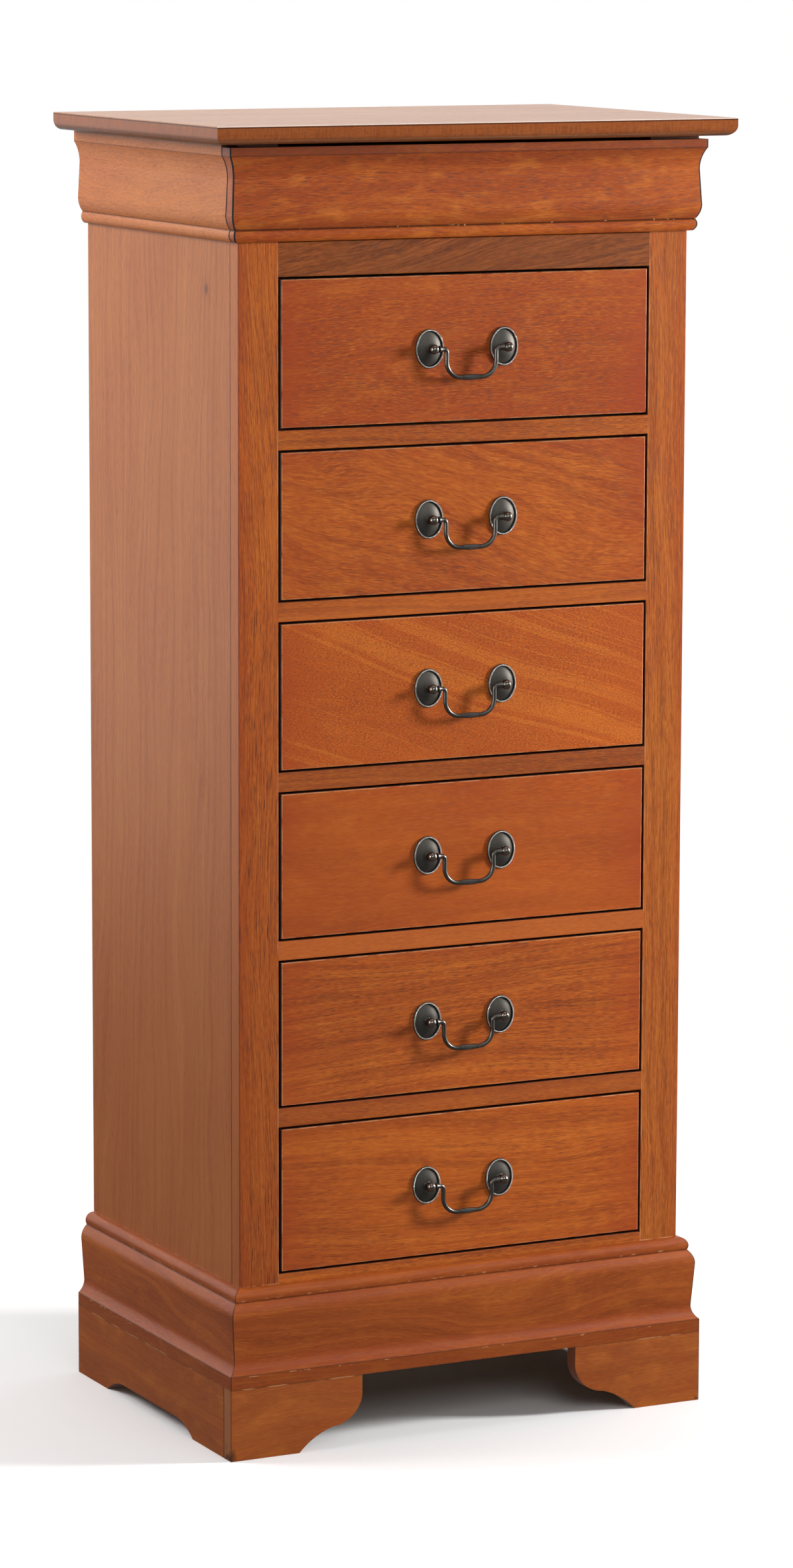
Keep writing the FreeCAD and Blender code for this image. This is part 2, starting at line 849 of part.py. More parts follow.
# Build and save every node
def save_pair(name, right_piece):
    save("left_" + name, mirrored(right_piece))
    save("right_" + name, right_piece)


def build_case():
    save("top_panel", top_panel())
    save_pair("side_panel", right_side_panel())
    save_pair("stile", right_stile())
    save("frieze_rail", rail(frieze_bottom, frieze_top))
    save("drawer_rails", *[rail(floor - rail_height, floor) for floor in drawer_floors])
    save("back_panel", back_panel())
    save("back_post", back_post())
    save("back_rails", back_rail(foot_height), back_rail(case_top - back_rail_height))
    save("top_cleats", mirrored(right_cleat()), right_cleat())
    save_pair("cornice_moulding", right_cornice_moulding())
    save("front_base_moulding", front_base_moulding())
    save_pair("base_moulding", right_base_moulding())
    save_pair("front_foot", right_front_foot())
    save_pair("base_board", right_base_board())
    save("rear_foot_brackets", mirrored(right_rear_foot()), right_rear_foot())
    blocks = [corner_block(foot_back, 1), corner_block(case_depth - foot_thickness, -1)]
    save("corner_blocks", *blocks, *[mirrored(piece) for piece in blocks])


def build_running_gear():
    save("centre_runners", *[centre_runner(floor) for floor in runner_floors])
    save("runner_sockets", *[runner_socket(floor) for floor in runner_floors])
    save("glide_buttons", *[glide_button(side, floor) for floor in runner_floors for side in (-1, 1)])
    screws = top_screws()
    for floor in runner_floors:
        screws += [runner_screw(floor)] + socket_screws(floor)
    save("wood_screws", *screws)


def build_drawers():
    for number, floor in enumerate(drawer_floors, 1):
        name = "drawer_" + str(number)
        save(name + "_front", drawer_front(floor))
        save(name + "_box", *box_pieces(drawer_front_thickness, floor, box_height, tail_count))
        save(name + "_bottom", drawer_bottom(drawer_front_thickness, floor + front_bottom_gap))
        save(name + "_pull_fittings", *pull_fittings(floor))
        save(name + "_bail", bail().translated(Vector(0, -pivot_reach, pull_level(floor))))


def build_cornice_drawer():
    front_back = inner_front_thickness - cover_gap
    save("cornice_drawer_front", cornice_drawer_front())
    save("cornice_drawer_box", cornice_inner_front(),
         *box_pieces(front_back, frieze_top, cornice_box_height, cornice_tail_count))
    save("cornice_drawer_bottom", drawer_bottom(front_back, frieze_top + front_bottom_gap))
    save("cornice_drawer_screws", *cover_screws())


os.makedirs("parts", exist_ok=True)
build_case()
build_running_gear()
build_drawers()
build_cornice_drawer()
print("chest", [round(length, 2) for length in (saved_box.XLength, saved_box.YLength, saved_box.ZLength)])
print("x, y, z from", [round(low, 3) for low in (saved_box.XMin, saved_box.YMin, saved_box.ZMin)])
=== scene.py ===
import bmesh
import bpy
import math
from mathutils import Matrix, Vector
from types import SimpleNamespace


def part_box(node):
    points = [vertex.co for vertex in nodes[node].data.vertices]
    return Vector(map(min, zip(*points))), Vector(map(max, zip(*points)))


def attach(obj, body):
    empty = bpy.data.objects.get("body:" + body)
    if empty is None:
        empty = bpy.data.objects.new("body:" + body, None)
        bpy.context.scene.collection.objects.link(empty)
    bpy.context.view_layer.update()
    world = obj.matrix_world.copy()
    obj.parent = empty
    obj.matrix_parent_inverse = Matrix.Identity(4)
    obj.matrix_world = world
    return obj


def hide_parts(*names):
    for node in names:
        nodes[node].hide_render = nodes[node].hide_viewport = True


# Tall narrow chest of drawers: stained wood case, pewter bail pulls, plain studio floor.
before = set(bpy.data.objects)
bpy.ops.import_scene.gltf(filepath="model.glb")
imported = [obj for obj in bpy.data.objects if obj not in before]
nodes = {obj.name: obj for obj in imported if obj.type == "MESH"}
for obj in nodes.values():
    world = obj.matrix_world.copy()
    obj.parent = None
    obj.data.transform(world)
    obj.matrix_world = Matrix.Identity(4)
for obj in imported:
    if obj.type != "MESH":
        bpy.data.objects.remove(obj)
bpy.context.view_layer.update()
print("frame loaded,", len(nodes), "nodes")

drawers = {number: "drawer_%d" % number for number in range(1, 7)}
mm = 0.001
boardThick = 18 * mm  # stiles and drawer fronts

# planes that the finishes line up with, taken from the frame
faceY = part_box("left_stile")[0].y  # front of the face frame
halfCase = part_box("right_stile")[1].x  # half the width over the side panels
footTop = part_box("left_front_foot")[1].z
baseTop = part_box("front_base_moulding")[1].z
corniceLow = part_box("cornice_drawer_front")[0].z


# Shader maths


def feed(node, values):
    # each value is a number, a colour or a wrapped socket
    for key, value in values.items():
        if isinstance(value, Shade):
            value.tree.links.new(value.socket, node.inputs[key])
        else:
            node.inputs[key].default_value = value


class Shade:
    # wraps a socket, so that shader maths reads as plain sums
    def __init__(self, tree, socket=None):
        self.tree = tree
        self.socket = socket

    def node(self, kind, settings=None, values=None, out=0):
        made = self.tree.nodes.new(kind)
        for key, setting in (settings or {}).items():
            setattr(made, key, setting)
        feed(made, values or {})
        return Shade(self.tree, made.outputs[out])

    def also(self, out):  # another output of the same node
        return Shade(self.tree, self.socket.node.outputs[out])

    def calc(self, operation, first, second=0.0):
        return self.node("ShaderNodeMath", {"operation": operation}, {0: first, 1: second})

    def __add__(self, other):
        return self.calc("ADD", self, other)

    __radd__ = __add__

    def __sub__(self, other):
        return self.calc("SUBTRACT", self, other)

    def __rsub__(self, other):
        return self.calc("SUBTRACT", other, self)

    def __mul__(self, other):
        return self.calc("MULTIPLY", self, other)

    __rmul__ = __mul__

    def __abs__(self):
        return self.calc("ABSOLUTE", self)

    def root(self):
        return self.calc("SQRT", self)

    def lower(self, other):
        return self.calc("MINIMUM", self, other)

    def upper(self, other):
        return self.calc("MAXIMUM", self, other)

    def step(self, start, end):  # 0 at start, 1 at end, eased between
        return self.node("ShaderNodeMapRange", {"interpolation_type": "SMOOTHSTEP"},
                         {0: self, 1: start, 2: end})

    def line(self, middle, half):  # 1 on a thin line, 0 beside it
        return abs(self - middle).step(half, half * 0.4)

    def blend(self, low, high):  # self is the share of the second colour
        return self.node("ShaderNodeMix", {"data_type": "RGBA"}, {0: self, 6: low, 7: high}, out=2)

    def vector(self, *numbers):
        return self.node("ShaderNodeCombineXYZ", None, dict(enumerate(numbers)))

    def parts(self):  # the three numbers of a vector
        first = self.node("ShaderNodeSeparateXYZ", None, {0: self})
        return first, first.also(1), first.also(2)

    def noise(self, scales, detail=2.0, shift=0.0, rough=0.5):
        scales = scales if isinstance(scales, tuple) else (scales,) * 3
        spread = self.node("ShaderNodeVectorMath", {"operation": "MULTIPLY_ADD"},
                           {0: self, 1: scales, 2: (shift, shift * 1.7, shift * 2.3)})
        return self.node("ShaderNodeTexNoise", None,
                         {"Vector": spread, "Scale": 1.0, "Detail": detail, "Roughness": rough})

    def stripes(self):  # uneven stripes along a running value
        return self.node("ShaderNodeTexNoise", {"noise_dimensions": "1D"},
                         {"W": self, "Scale": 1.0, "Detail": 3.0, "Roughness": 0.6})

    def bump(self, strength, distance):
        return self.node("ShaderNodeBump", None,
                         {"Height": self, "Strength": strength, "Distance": distance})


def tone(red, green, blue):  # a colour as seen on screen, 0 to 255
    def linear(value):
        share = value / 255
        return share / 12.92 if share <= 0.04045 else ((share + 0.055) / 1.055) ** 2.4
    return (linear(red), linear(green), linear(blue), 1.0)


def newFinish(name):
    material = bpy.data.materials.new(name)
    material.use_nodes = True
    start = Shade(material.node_tree)
    place = start.node("ShaderNodeTexCoord", out="Object")
    return material, material.node_tree.nodes["Principled BSDF"], start, place


def give(name, material):
    node = nodes[name]
    node.data.materials.clear()
    node.data.materials.append(material)


# Stained wood

stain = dict(
    base=tone(176, 86, 22), other=tone(162, 73, 18), dark=tone(104, 42, 6), light=tone(214, 124, 40),
    red=tone(152, 54, 12), pore=tone(76, 31, 6), edge=tone(46, 21, 11), wearAndSheen=tone(222, 168, 120),
    side=tone(78, 36, 15), gap=tone(84, 38, 15), raw=tone(192, 152, 106),
    bands=60.0, sway=0.16, bandDepth=0.35, lightDepth=0.25, hair=0.0, blotch=0.8, flame=0.12,
    fibre=0.28, fibreRun=24.0, fibreWidth=700.0, fine=0.52, fineRun=130.0, fineWidth=1350.0,
    pores=0.60, poreRun=80.0, poreWidth=1400.0,
    rough=0.36, ior=1.38, tilt=0.0, lean=0.6, seed=0, leftShade=0.0,
)


class Board(SimpleNamespace):
    # one board while its colour is laid on
    def tint(self, share, colour):
        target = self.look[colour] if isinstance(colour, str) else colour
        self.colour = share.blend(self.colour, target)


def stainedWood(name, axes, look, marks=None, **changes):
    # finishes a CAD node; axes: along the grain, across it on the main face, into the board
    look = {**stain, **look, **changes}
    material, shader, start, place = newFinish(name + "Wood")
    x, y, z = place.parts()
    byAxis = dict(x=x, y=y, z=z)
    grain = start.vector(*(byAxis[axis] for axis in axes))
    if "crossInside" in look:  # boards between the two sides run the other way
        limit = look["crossInside"]
        between = abs(x).step(limit + 0.1 * mm, limit - 0.1 * mm)
        grain = start.node("ShaderNodeMix", {"data_type": "VECTOR"},
                           {0: between, 4: grain, 5: start.vector(x, z, y)}, out=1)
    shift = Vector((0.37, 0.61, 0.23)) * look["seed"]
    turn = math.radians(look["tilt"])
    figure, grain = [start.node("ShaderNodeMapping", None, {"Vector": grain, "Location": shift,
                                                            "Rotation": (0, 0, angle)})
                     for angle in (turn, turn * look["lean"])]

    # growth lines sway and may lie at a slant, fibres and pores keep closer to the board
    sway = (figure.noise((2.4, 9, 9)) - 0.5) * look["sway"]
    run, across, deep = figure.parts()
    growth = ((across + sway + deep * 0.6) * look["bands"]).stripes()
    run, across, deep = grain.parts()
    flow = start.vector(run, across + sway * look["lean"], deep)

    def strands(kind, *settings):  # long thin noise along the grain
        wide = look[kind + "Width"]
        return flow.noise((look[kind + "Run"], wide, wide), *settings)

    patch = grain.noise((4.5, 11.0, 11.0), 2.0, 7.7)
    flame = flow.noise((30, 55, 55), 2.0, 9.9)
    fibre = strands("fibre", 3.0, 4.1, 0.62)
    fine = strands("fine", 2.0, 6.1)
    pores = strands("pore", 1.0, 2.3).step(0.58, 0.68) * patch.step(0.25, 0.62)
    layers = (
        (patch.step(0.35, 0.65), "blotch", "other"),
        (growth.step(0.51, 0.68), "bandDepth", "dark"),
        (growth.step(0.48, 0.32), "lightDepth", "light"),
        (growth.line(0.5, 0.02), "hair", "light"),
        (flame.step(0.52, 0.72), "flame", "light"),
        (flame.step(0.48, 0.28), "flame", "red"),
        (fibre.step(0.50, 0.70), "fibre", "dark"),
        (fibre.step(0.50, 0.30) * 0.7, "fibre", "light"),
        (fine.step(0.50, 0.72), "fine", "dark"),
        (fine.step(0.50, 0.28) * 0.7, "fine", "light"),
        (pores, "pores", "pore"),
    )
    board = Board(x=x, y=y, z=z, place=place, patch=patch, look=look, colour=look["base"],
                  rough=look["rough"] + (fibre - 0.5) * 0.12 + pores * 0.12)
    for share, depth, colour in layers:
        board.tint(share * look[depth], colour)
    if marks:
        marks(board, *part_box(name))
    feed(shader, {"Base Color": board.colour, "Roughness": board.rough, "IOR": look["ior"],
                  "Normal": (fibre * 0.5 - pores).bump(0.10, 0.15 * mm)})
    give(name, material)


# Drawer fronts: each has its own figure

drawerFigures = {
    1: dict(tilt=-3, base=tone(160, 70, 17), other=tone(150, 59, 14), bands=34, sway=0.10,
            bandDepth=0.20, lightDepth=0.10, flame=0.16, ends=0.60),
    2: dict(tilt=17, base=tone(167, 78, 19), other=tone(155, 68, 17), dark=tone(116, 46, 8), bands=62,
            sway=0.20, lean=0.5, bandDepth=0.34, lightDepth=0.14, hair=0.12, flame=0.20, fibre=0.30,
            ends=0.42),
    3: dict(tilt=21, base=tone(178, 81, 19), other=tone(169, 74, 17), bands=26, sway=0.05, lean=0.5,
            bandDepth=0.05, lightDepth=0.05, hair=0.32, fibre=0.18, fine=0.78, fineRun=420.0, pores=0.40,
            poreRun=300.0, ends=0.40),
    4: dict(tilt=2, base=tone(172, 80, 20), other=tone(160, 70, 18), bands=20, sway=0.09, bandDepth=0.14,
            lightDepth=0.08, fibre=0.12, fine=0.26, pores=0.16, ends=0.40, leftShade=0.14),
    5: dict(tilt=-2, base=tone(172, 82, 21), other=tone(160, 73, 18), bands=85, sway=0.06, bandDepth=0.38,
            lightDepth=0.18, fibre=0.46, fibreRun=11.0, fibreWidth=460.0, ends=0.46, leftShade=0.12),
    6: dict(tilt=1, base=tone(174, 83, 19), other=tone(162, 74, 18), bands=62, sway=0.06, bandDepth=0.22,
            lightDepth=0.14, fibre=0.34, fibreRun=13.0, fibreWidth=480.0, fine=0.38, ends=0.40,
            leftShade=0.14),
}


def gapStainAndShade(s, low, share=1.0):
    # stain runs thick and dull on the edges behind the face, made darker still as painted shade in the gaps
    inGap = s.y.step(low.y + 0.5 * mm, low.y + 2 * mm) * share
    s.tint(inGap, "gap")
    s.rough = s.rough + inGap * 0.4


def drawerFrontMarks(s, low, high):
    ends = (s.x - low.x).lower(high.x - s.x)
    rims = (s.z - low.z).lower(high.z - s.z).lower(ends)
    toner = ends.step(60 * mm, 0.0) * s.look["ends"] + rims.step(18 * mm, 0.0) * 0.16
    s.tint(toner * s.patch.step(0.2, 0.7), "red")
    # painted shade: darker towards the left end
    s.tint(s.x.step(60 * mm, -200 * mm) * s.look["leftShade"], "dark")
    leftEdge = low.x + 1.0 * mm  # painted highlight along the arrises, and painted shade on the first mm of the left edge, which faces the gap
    arris = (s.x - leftEdge).lower(high.x - s.x).lower(s.z - low.z).lower(high.z - s.z)
    broken = s.place.noise(90).step(0.30, 0.60)
    # painted highlight: a broken pale line along the arrises
    s.tint(arris.step(1.3 * mm, 0.4 * mm) * broken * 0.42, "wearAndSheen")
    # painted shade: the left edge beside the gap
    s.tint(s.x.step(leftEdge + 0.2 * mm, leftEdge - 0.2 * mm), "edge")
    gapStainAndShade(s, low)
    s.tint(s.y.step(high.y - 0.6 * mm, high.y - 0.2 * mm), "raw")


for number, figure in drawerFigures.items():
    stainedWood(drawers[number] + "_front", "xzy", figure, drawerFrontMarks, seed=number)
print("drawer fronts finished")


# Face frame and side panels

stileLook = dict(base=tone(178, 88, 24), other=tone(166, 76, 21), light=tone(204, 122, 46),
                 flank=tone(206, 138, 82), bands=90, sway=0.07, tilt=1.5, bandDepth=0.26, lightDepth=0.16,
                 fibre=0.66, fibreRun=16.0, fibreWidth=1150.0, pores=0.95, poreRun=34, poreWidth=1300,
                 flame=0.06, fade=0.34)
rightStile = dict(stileLook, base=tone(168, 88, 25), pores=0.60, fade=0.10)


def glueLine(s):  # where the base moulding meets the case
    glue = s.z.line(baseTop + 0.3 * mm, 0.9 * mm) * s.place.noise((160, 160, 10), 1.0).step(0.36, 0.58)
    s.tint(glue * 0.6, "wearAndSheen")


def stileMarks(s, low, high):
    inner, outer = sorted((abs(low.x), abs(high.x)))
    across = abs(s.x)
    fromEdge = outer - across
    s.tint(fromEdge.upper(s.y - low.y).step(1.6 * mm, 0.4 * mm) * 0.30, "dark")
    s.tint(s.y.step(high.y - 1.0 * mm, high.y - 0.3 * mm) * 0.75, "edge")  # seam to the side panel
    flank = fromEdge.step(1.0 * mm, 0.4 * mm) * s.y.step(low.y + 0.8 * mm, low.y + 1.6 * mm)
    s.tint(flank * 0.5, "flank")
    glueLine(s)
    s.tint(fromEdge.step(16 * mm, 2 * mm) * 0.30, "red")  # redder towards the outer edge
    # painted shade: darker towards the bottom
    s.tint(s.z.step(0.95, 0.20) * s.look["fade"], "dark")
    # painted highlight: a broken pale line along the inner arris
    innerEdgeHighlight = across.line(inner + 0.5 * mm, 0.5 * mm) * s.place.noise((90, 90, 60)).step(0.35, 0.60)
    s.tint(innerEdgeHighlight * 0.40, "wearAndSheen")
    gapStainAndShade(s, low, across.step(inner + 0.4 * mm, inner + 0.1 * mm))
    # painted shade: the stile's top, in the gap under the top, takes the dark edge stain
    behindCornice = s.z.step(corniceLow + 2 * mm, corniceLow + 6 * mm)
    s.tint(behindCornice, "side")
    s.rough = s.rough + behindCornice * 0.4


stainedWood("left_stile", "zxy", stileLook, stileMarks, seed=11)
stainedWood("right_stile", "zxy", rightStile, stileMarks, seed=12)

railLook = dict(base=tone(166, 81, 21), other=tone(152, 70, 18), bands=80, sway=0.04, bandDepth=0.40,
                lightDepth=0.2)
railLook["tints"] = (  # from the lowest rail up
    (tone(108, 48, 22), 0.66), (tone(136, 62, 24), 0.50), (tone(186, 96, 40), 0.45),
    (tone(110, 52, 26), 0.30), (tone(190, 98, 40), 0.30), (tone(150, 76, 34), 0.30),
)
friezeLook = dict(base=tone(126, 61, 15), other=tone(116, 53, 13), dark=tone(72, 34, 10),
                  light=tone(168, 96, 40), bands=85, sway=0.08, bandDepth=0.45, lightDepth=0.34, hair=0.2,
                  fibre=0.46, tilt=-14, lean=0.9, tints=())


def railMarks(s, low, high):
    tints = s.look["tints"]
    for place, (tint, share) in enumerate(tints):  # every rail is cut from another board
        middle = low.z + (place + 0.5) / len(tints) * (high.z - low.z)
        s.tint(s.z.line(middle, 60 * mm) * share, tint)
    stained = s.y.step(low.y + 16 * mm, low.y + 9 * mm)
    s.colour = stained.blend(s.look["raw"], s.colour)
    gapStainAndShade(s, low, stained)


stainedWood("drawer_rails", "xzy", railLook, railMarks, seed=13)
stainedWood("frieze_rail", "xzy", friezeLook, railMarks, seed=14)

sideLook = dict(base=tone(178, 105, 54), other=tone(170, 95, 48), light=tone(198, 128, 72),
                dark=tone(126, 66, 34), paintedShade=tone(132, 66, 30), bands=85, sway=0.11, tilt=1.5,
                bandDepth=0.32, lightDepth=0.24, fibre=0.26, fibreRun=8.0, fibreWidth=480.0, fine=0.40,
                fineRun=90.0, pores=0.10, flame=0.06, rough=0.34, knotty=True)
rightSide = dict(sideLook, base=tone(166, 90, 40), other=tone(156, 80, 36), knotty=False)
knot = dict(y=-0.089, z=1.136, across=5.0 * mm, up=6.0 * mm, colour=tone(92, 52, 36))


def sideMarks(s, low, high):
    inner = min(abs(low.x), abs(high.x))
    seam = faceY + boardThick
    s.tint(s.y.step(seam + 1.2 * mm, seam + 0.4 * mm) * 0.7, "edge")
    glueLine(s)
    if s.look["knotty"]:
        aside = (s.y - knot["y"]) * (1 / knot["across"])
        above = (s.z - knot["z"]) * (1 / knot["up"])
        spread = (aside * aside + above * above).root()
        s.tint(spread.step(3.4, 0.6) * 0.22, "dark")
        s.tint(spread.step(1.3, 0.3) * 0.70, knot["colour"])
    # painted shade: darker towards the bottom
    s.tint(s.z.step(1.0, 0.20) * 0.38, "paintedShade")
    s.tint(abs(s.x).step(inner + 0.6 * mm, inner + 0.2 * mm), "raw")


stainedWood("left_side_panel", "zyx", sideLook, sideMarks, seed=21)
stainedWood("right_side_panel", "zyx", rightSide, sideMarks, seed=22)
print("face frame and sides finished")


# Top and cornice

topLook = dict(base=tone(184, 130, 86), other=tone(176, 120, 78), rim=tone(142, 66, 12),
               rimDark=tone(122, 52, 8), glint=tone(255, 246, 236), ior=1.5, bands=40, sway=0.10,
               bandDepth=0.25, lightDepth=0.2, fibre=0.3, pores=0.25, rough=0.30)


def topMarks(s, low, high):
    down = high.z - s.z
    sides = (s.x - low.x).lower(high.x - s.x).lower(s.y - low.y)
    rim = sides.step(3 * mm, 1.5 * mm) * s.z.step(high.z - 0.3 * mm, high.z - 1.0 * mm)
    cut = s.place.noise((520, 520, 70), 2.0, 3.3).step(0.40, 0.66)  # edge shows short upright fibres
    s.tint(rim * 0.8, cut.blend(s.look["rim"], s.look["rimDark"]))
    # painted shade: the rounded underside of the front edge darkens towards the bottom
    s.tint(s.z.step(low.z + 7 * mm, low.z + 1 * mm) * 0.8, "side")
    s.rough = s.rough - rim * 0.10
    s.tint(down.line(1.5 * mm, 0.8 * mm) * rim * 0.8, "edge")
    glint = down.step(0.9 * mm, 0.6 * mm) * s.y.step(low.y + 1 * mm, low.y + 0.3 * mm)
    s.tint(glint * 0.7, "glint")


stainedWood("top_panel", "xyz", topLook, topMarks, seed=31)

corniceLook = dict(base=tone(174, 82, 14), other=tone(154, 64, 10), shadow=tone(22, 9, 5), bands=55,
                   sway=0.10, bandDepth=0.28, lightDepth=0.22, fibre=0.18, fine=0.42, pores=0.70,
                   poreRun=70, poreWidth=1300, blotch=1.0, flame=0.34)
sideCorniceLook = dict(corniceLook, base=tone(190, 110, 50), other=tone(184, 102, 45), pores=0.15,
                       bandDepth=0.15, fibre=0.16, flame=0.10)
cornice = dict(quirkUp=11.5 * mm, sideFilletUp=81.7 * mm, filletDown=8 * mm)


def fromMitre(s):  # distance from the mitred corners
    return abs((abs(s.x) - halfCase) + (s.y - faceY))


def corniceMarks(s, low, high):
    quirk = low.z + cornice["quirkUp"]
    fillet = high.z - cornice["filletDown"]
    # painted shade: darker under the top's overhang at the fillet, and at the foot of the belly above the
    # quirk
    s.tint(s.z.step(fillet - 26 * mm, fillet) * 0.26, "dark")
    s.tint(s.z.step(quirk + 16 * mm, quirk) * s.z.step(quirk - mm, quirk + mm) * 0.30, "dark")
    shaded = s.x.step(60 * mm, -160 * mm) * 0.40 + 0.24  # painted shade, darker towards the left
    s.tint(s.z.step(fillet - 1 * mm, fillet + 1 * mm) * shaded, "dark")
    corner = fromMitre(s).step(1.7 * mm, 1.0 * mm)
    s.tint(corner, "shadow")
    # dark lines at the quirk and the fillet: stain in the creases, deepened as painted shade
    s.tint(s.z.line(quirk, 1.4 * mm) * 0.75, "edge")
    s.tint(s.z.line(fillet, 1.0 * mm) * 0.45, "edge")
    speck = s.place.noise(260, 0.0, 5.0).step(0.72, 0.76) * s.z.line(quirk, 1.6 * mm)
    s.tint(speck * 0.45, "wearAndSheen")
    rear = s.y.step(high.y - 1.0 * mm, high.y - 0.4 * mm)
    s.tint(rear, "shadow")
    s.tint(s.y.step(high.y - 0.15 * mm, high.y - 0.05 * mm), "side")
    s.rough = s.rough + corner.upper(rear) * 0.5


def sideCorniceMarks(s, low, high):
    s.tint(s.z.line(low.z + cornice["quirkUp"], 1.2 * mm) * 0.55, "edge")
    s.tint(s.z.line(low.z + cornice["sideFilletUp"], 1.0 * mm) * 0.35, "edge")
    # painted shadow under the top's overhang
    s.tint(s.z.step(high.z - 4 * mm, high.z - 1 * mm) * 0.5, "edge")
    # painted shadow in the gap at the front end
    cut = s.y.step(low.y + 1.4 * mm, low.y + 0.8 * mm)
    s.tint(cut, "edge")
    s.tint(s.y.step(low.y + 0.15 * mm, low.y + 0.05 * mm), "side")
    s.rough = s.rough + cut * 0.5


stainedWood("cornice_drawer_front", "xzy", corniceLook, corniceMarks, seed=32)
stainedWood("left_cornice_moulding", "yzx", sideCorniceLook, sideCorniceMarks, seed=33)
stainedWood("right_cornice_moulding", "yzx", sideCorniceLook, sideCorniceMarks, seed=34)
print("top and cornice finished")


# Base mouldings and feet

baseLook = dict(base=tone(152, 74, 24), other=tone(136, 60, 18), red=tone(142, 58, 24), bands=45, sway=0.16,
                bandDepth=0.30, lightDepth=0.14, fibre=0.20, fine=0.24, pores=0.20, flame=0.10, rough=0.33)
footLook = dict(base=tone(150, 76, 27), other=tone(142, 69, 24), cut=tone(150, 96, 60), bands=40, sway=0.12,
                bandDepth=0.15, lightDepth=0.10, fibre=0.16, fine=0.22, pores=0.14, flame=0.16, rough=0.38)
baseProfile = dict(quirkDown=12.5 * mm, filletUp=12.9 * mm)


def baseMarks(s, low, high):
    quirk = high.z - baseProfile["quirkDown"]
    fillet = low.z + baseProfile["filletUp"]
    s.tint(fromMitre(s).step(1.3 * mm, 0.5 * mm) * 0.8, "edge")
    s.tint(s.z.line(quirk, 1.0 * mm) * 0.6, "edge")
    s.tint(s.z.line(fillet, 0.9 * mm) * 0.45, "edge")
    s.tint(s.z.step(fillet + mm, fillet - mm) * 0.2, "dark")
    cove = s.z.step(low.z + 13 * mm, low.z + 16 * mm) * s.z.step(low.z + 34 * mm, low.z + 22 * mm)
    s.tint(cove * 0.30, "red")
    s.tint(s.z.step(high.z - 24 * mm, high.z - 14 * mm) * 0.22, "red")
    ledge = s.z.line(quirk + 1.5 * mm, 1.5 * mm).upper(s.z.line(fillet - 1.2 * mm, 1.2 * mm))
    speck = s.place.noise((120, 120, 420), 1.0, 5.0).step(0.60, 0.68) * ledge
    s.tint(speck * 0.40, "wearAndSheen")


def footMarks(s, low, high):
    fromEdge = max(abs(low.x), abs(high.x)) - abs(s.x)
    glue = s.z.line(footTop - 0.4 * mm, 0.8 * mm)
    dry = s.place.noise((40, 40, 10)).step(0.50, 0.62)
    s.tint(glue * 0.5, "edge")
    s.tint(glue * dry * 0.40, "wearAndSheen")
    if s.look["frontFoot"]:
        cut = fromEdge.step(0.6 * mm, 0.2 * mm)
        s.tint(cut * 0.6, "cut")
        s.tint(cut * s.y.step(high.y - 1.4 * mm, high.y - 0.5 * mm), "edge")
        smudge = s.z.step(22 * mm, 4 * mm) * fromEdge.step(9 * mm, 0.0)
        s.tint(smudge * s.place.noise((150, 150, 90)).step(0.42, 0.62) * 0.8, "edge")
    s.tint(fromEdge.upper(s.y - low.y).step(1.2 * mm, 0.4 * mm) * 0.6, "edge")


for name, axes, seed in (("front_base_moulding", "xzy", 41), ("left_base_moulding", "yzx", 42),
                         ("right_base_moulding", "yzx", 43)):
    stainedWood(name, axes, baseLook, baseMarks, seed=seed)
for name, axes, seed in (("left_front_foot", "xzy", 44), ("right_front_foot", "xzy", 45),
                         ("left_base_board", "yzx", 46), ("right_base_board", "yzx", 47),
                         ("rear_foot_brackets", "xzy", 48)):
    stainedWood(name, axes, footLook, footMarks, seed=seed, frontFoot="front_foot" in name)
print("base and feet finished")


# Unstained wood inside

plainLook = dict(base=tone(206, 170, 122), other=tone(196, 158, 110), dark=tone(160, 120, 78),
                 light=tone(222, 192, 150), pore=tone(140, 100, 64), red=tone(190, 140, 92), bands=60,
                 sway=0.1, bandDepth=0.35, lightDepth=0.3, fibre=0.3, fine=0.2, pores=0.2, flame=0.1,
                 rough=0.55, ior=1.45)
boxLook = dict(plainLook, base=tone(212, 182, 138), other=tone(204, 170, 124), rough=0.48,
               crossInside=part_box("drawer_1_box")[1].x - 10 * mm)
boardLook = dict(plainLook, base=tone(160, 118, 78), other=tone(150, 110, 72), dark=tone(118, 82, 52),
                 light=tone(182, 140, 98), bands=14, bandDepth=0.1, lightDepth=0.1, fibre=0.2, pores=0.3,
                 poreRun=500, poreWidth=700, rough=0.6)

for name, axes, seed in (("back_post", "zxy", 51), ("back_rails", "xzy", 52), ("top_cleats", "yxz", 53),
                         ("corner_blocks", "zxy", 54), ("centre_runners", "yxz", 55)):
    stainedWood(name, axes, plainLook, seed=seed)
stainedWood("back_panel", "zxy", boardLook, seed=56)
for number, drawer in {**drawers, 8: "cornice_drawer"}.items():
    stainedWood(drawer + "_box", "yzx", boxLook, seed=60 + number)
    stainedWood(drawer + "_bottom", "xyz", boardLook, seed=70 + number)
print("inner wood finished")


# Metal and nylon

# wear runs from 0, dull, to 1, rubbed bright; below 0 the metal is dark and polished
pewter = dict(dark=tone(50, 46, 41), mid=tone(64, 59, 53), bright=tone(236, 232, 225),
              black=tone(118, 110, 102), rough=0.50, satin=0.21, gloss=0.18)
zinc = dict(dull=tone(176, 172, 160), bright=tone(206, 206, 204), rough=0.28)
nylon = dict(dull=tone(226, 222, 208), bright=tone(238, 236, 226), rough=0.42)


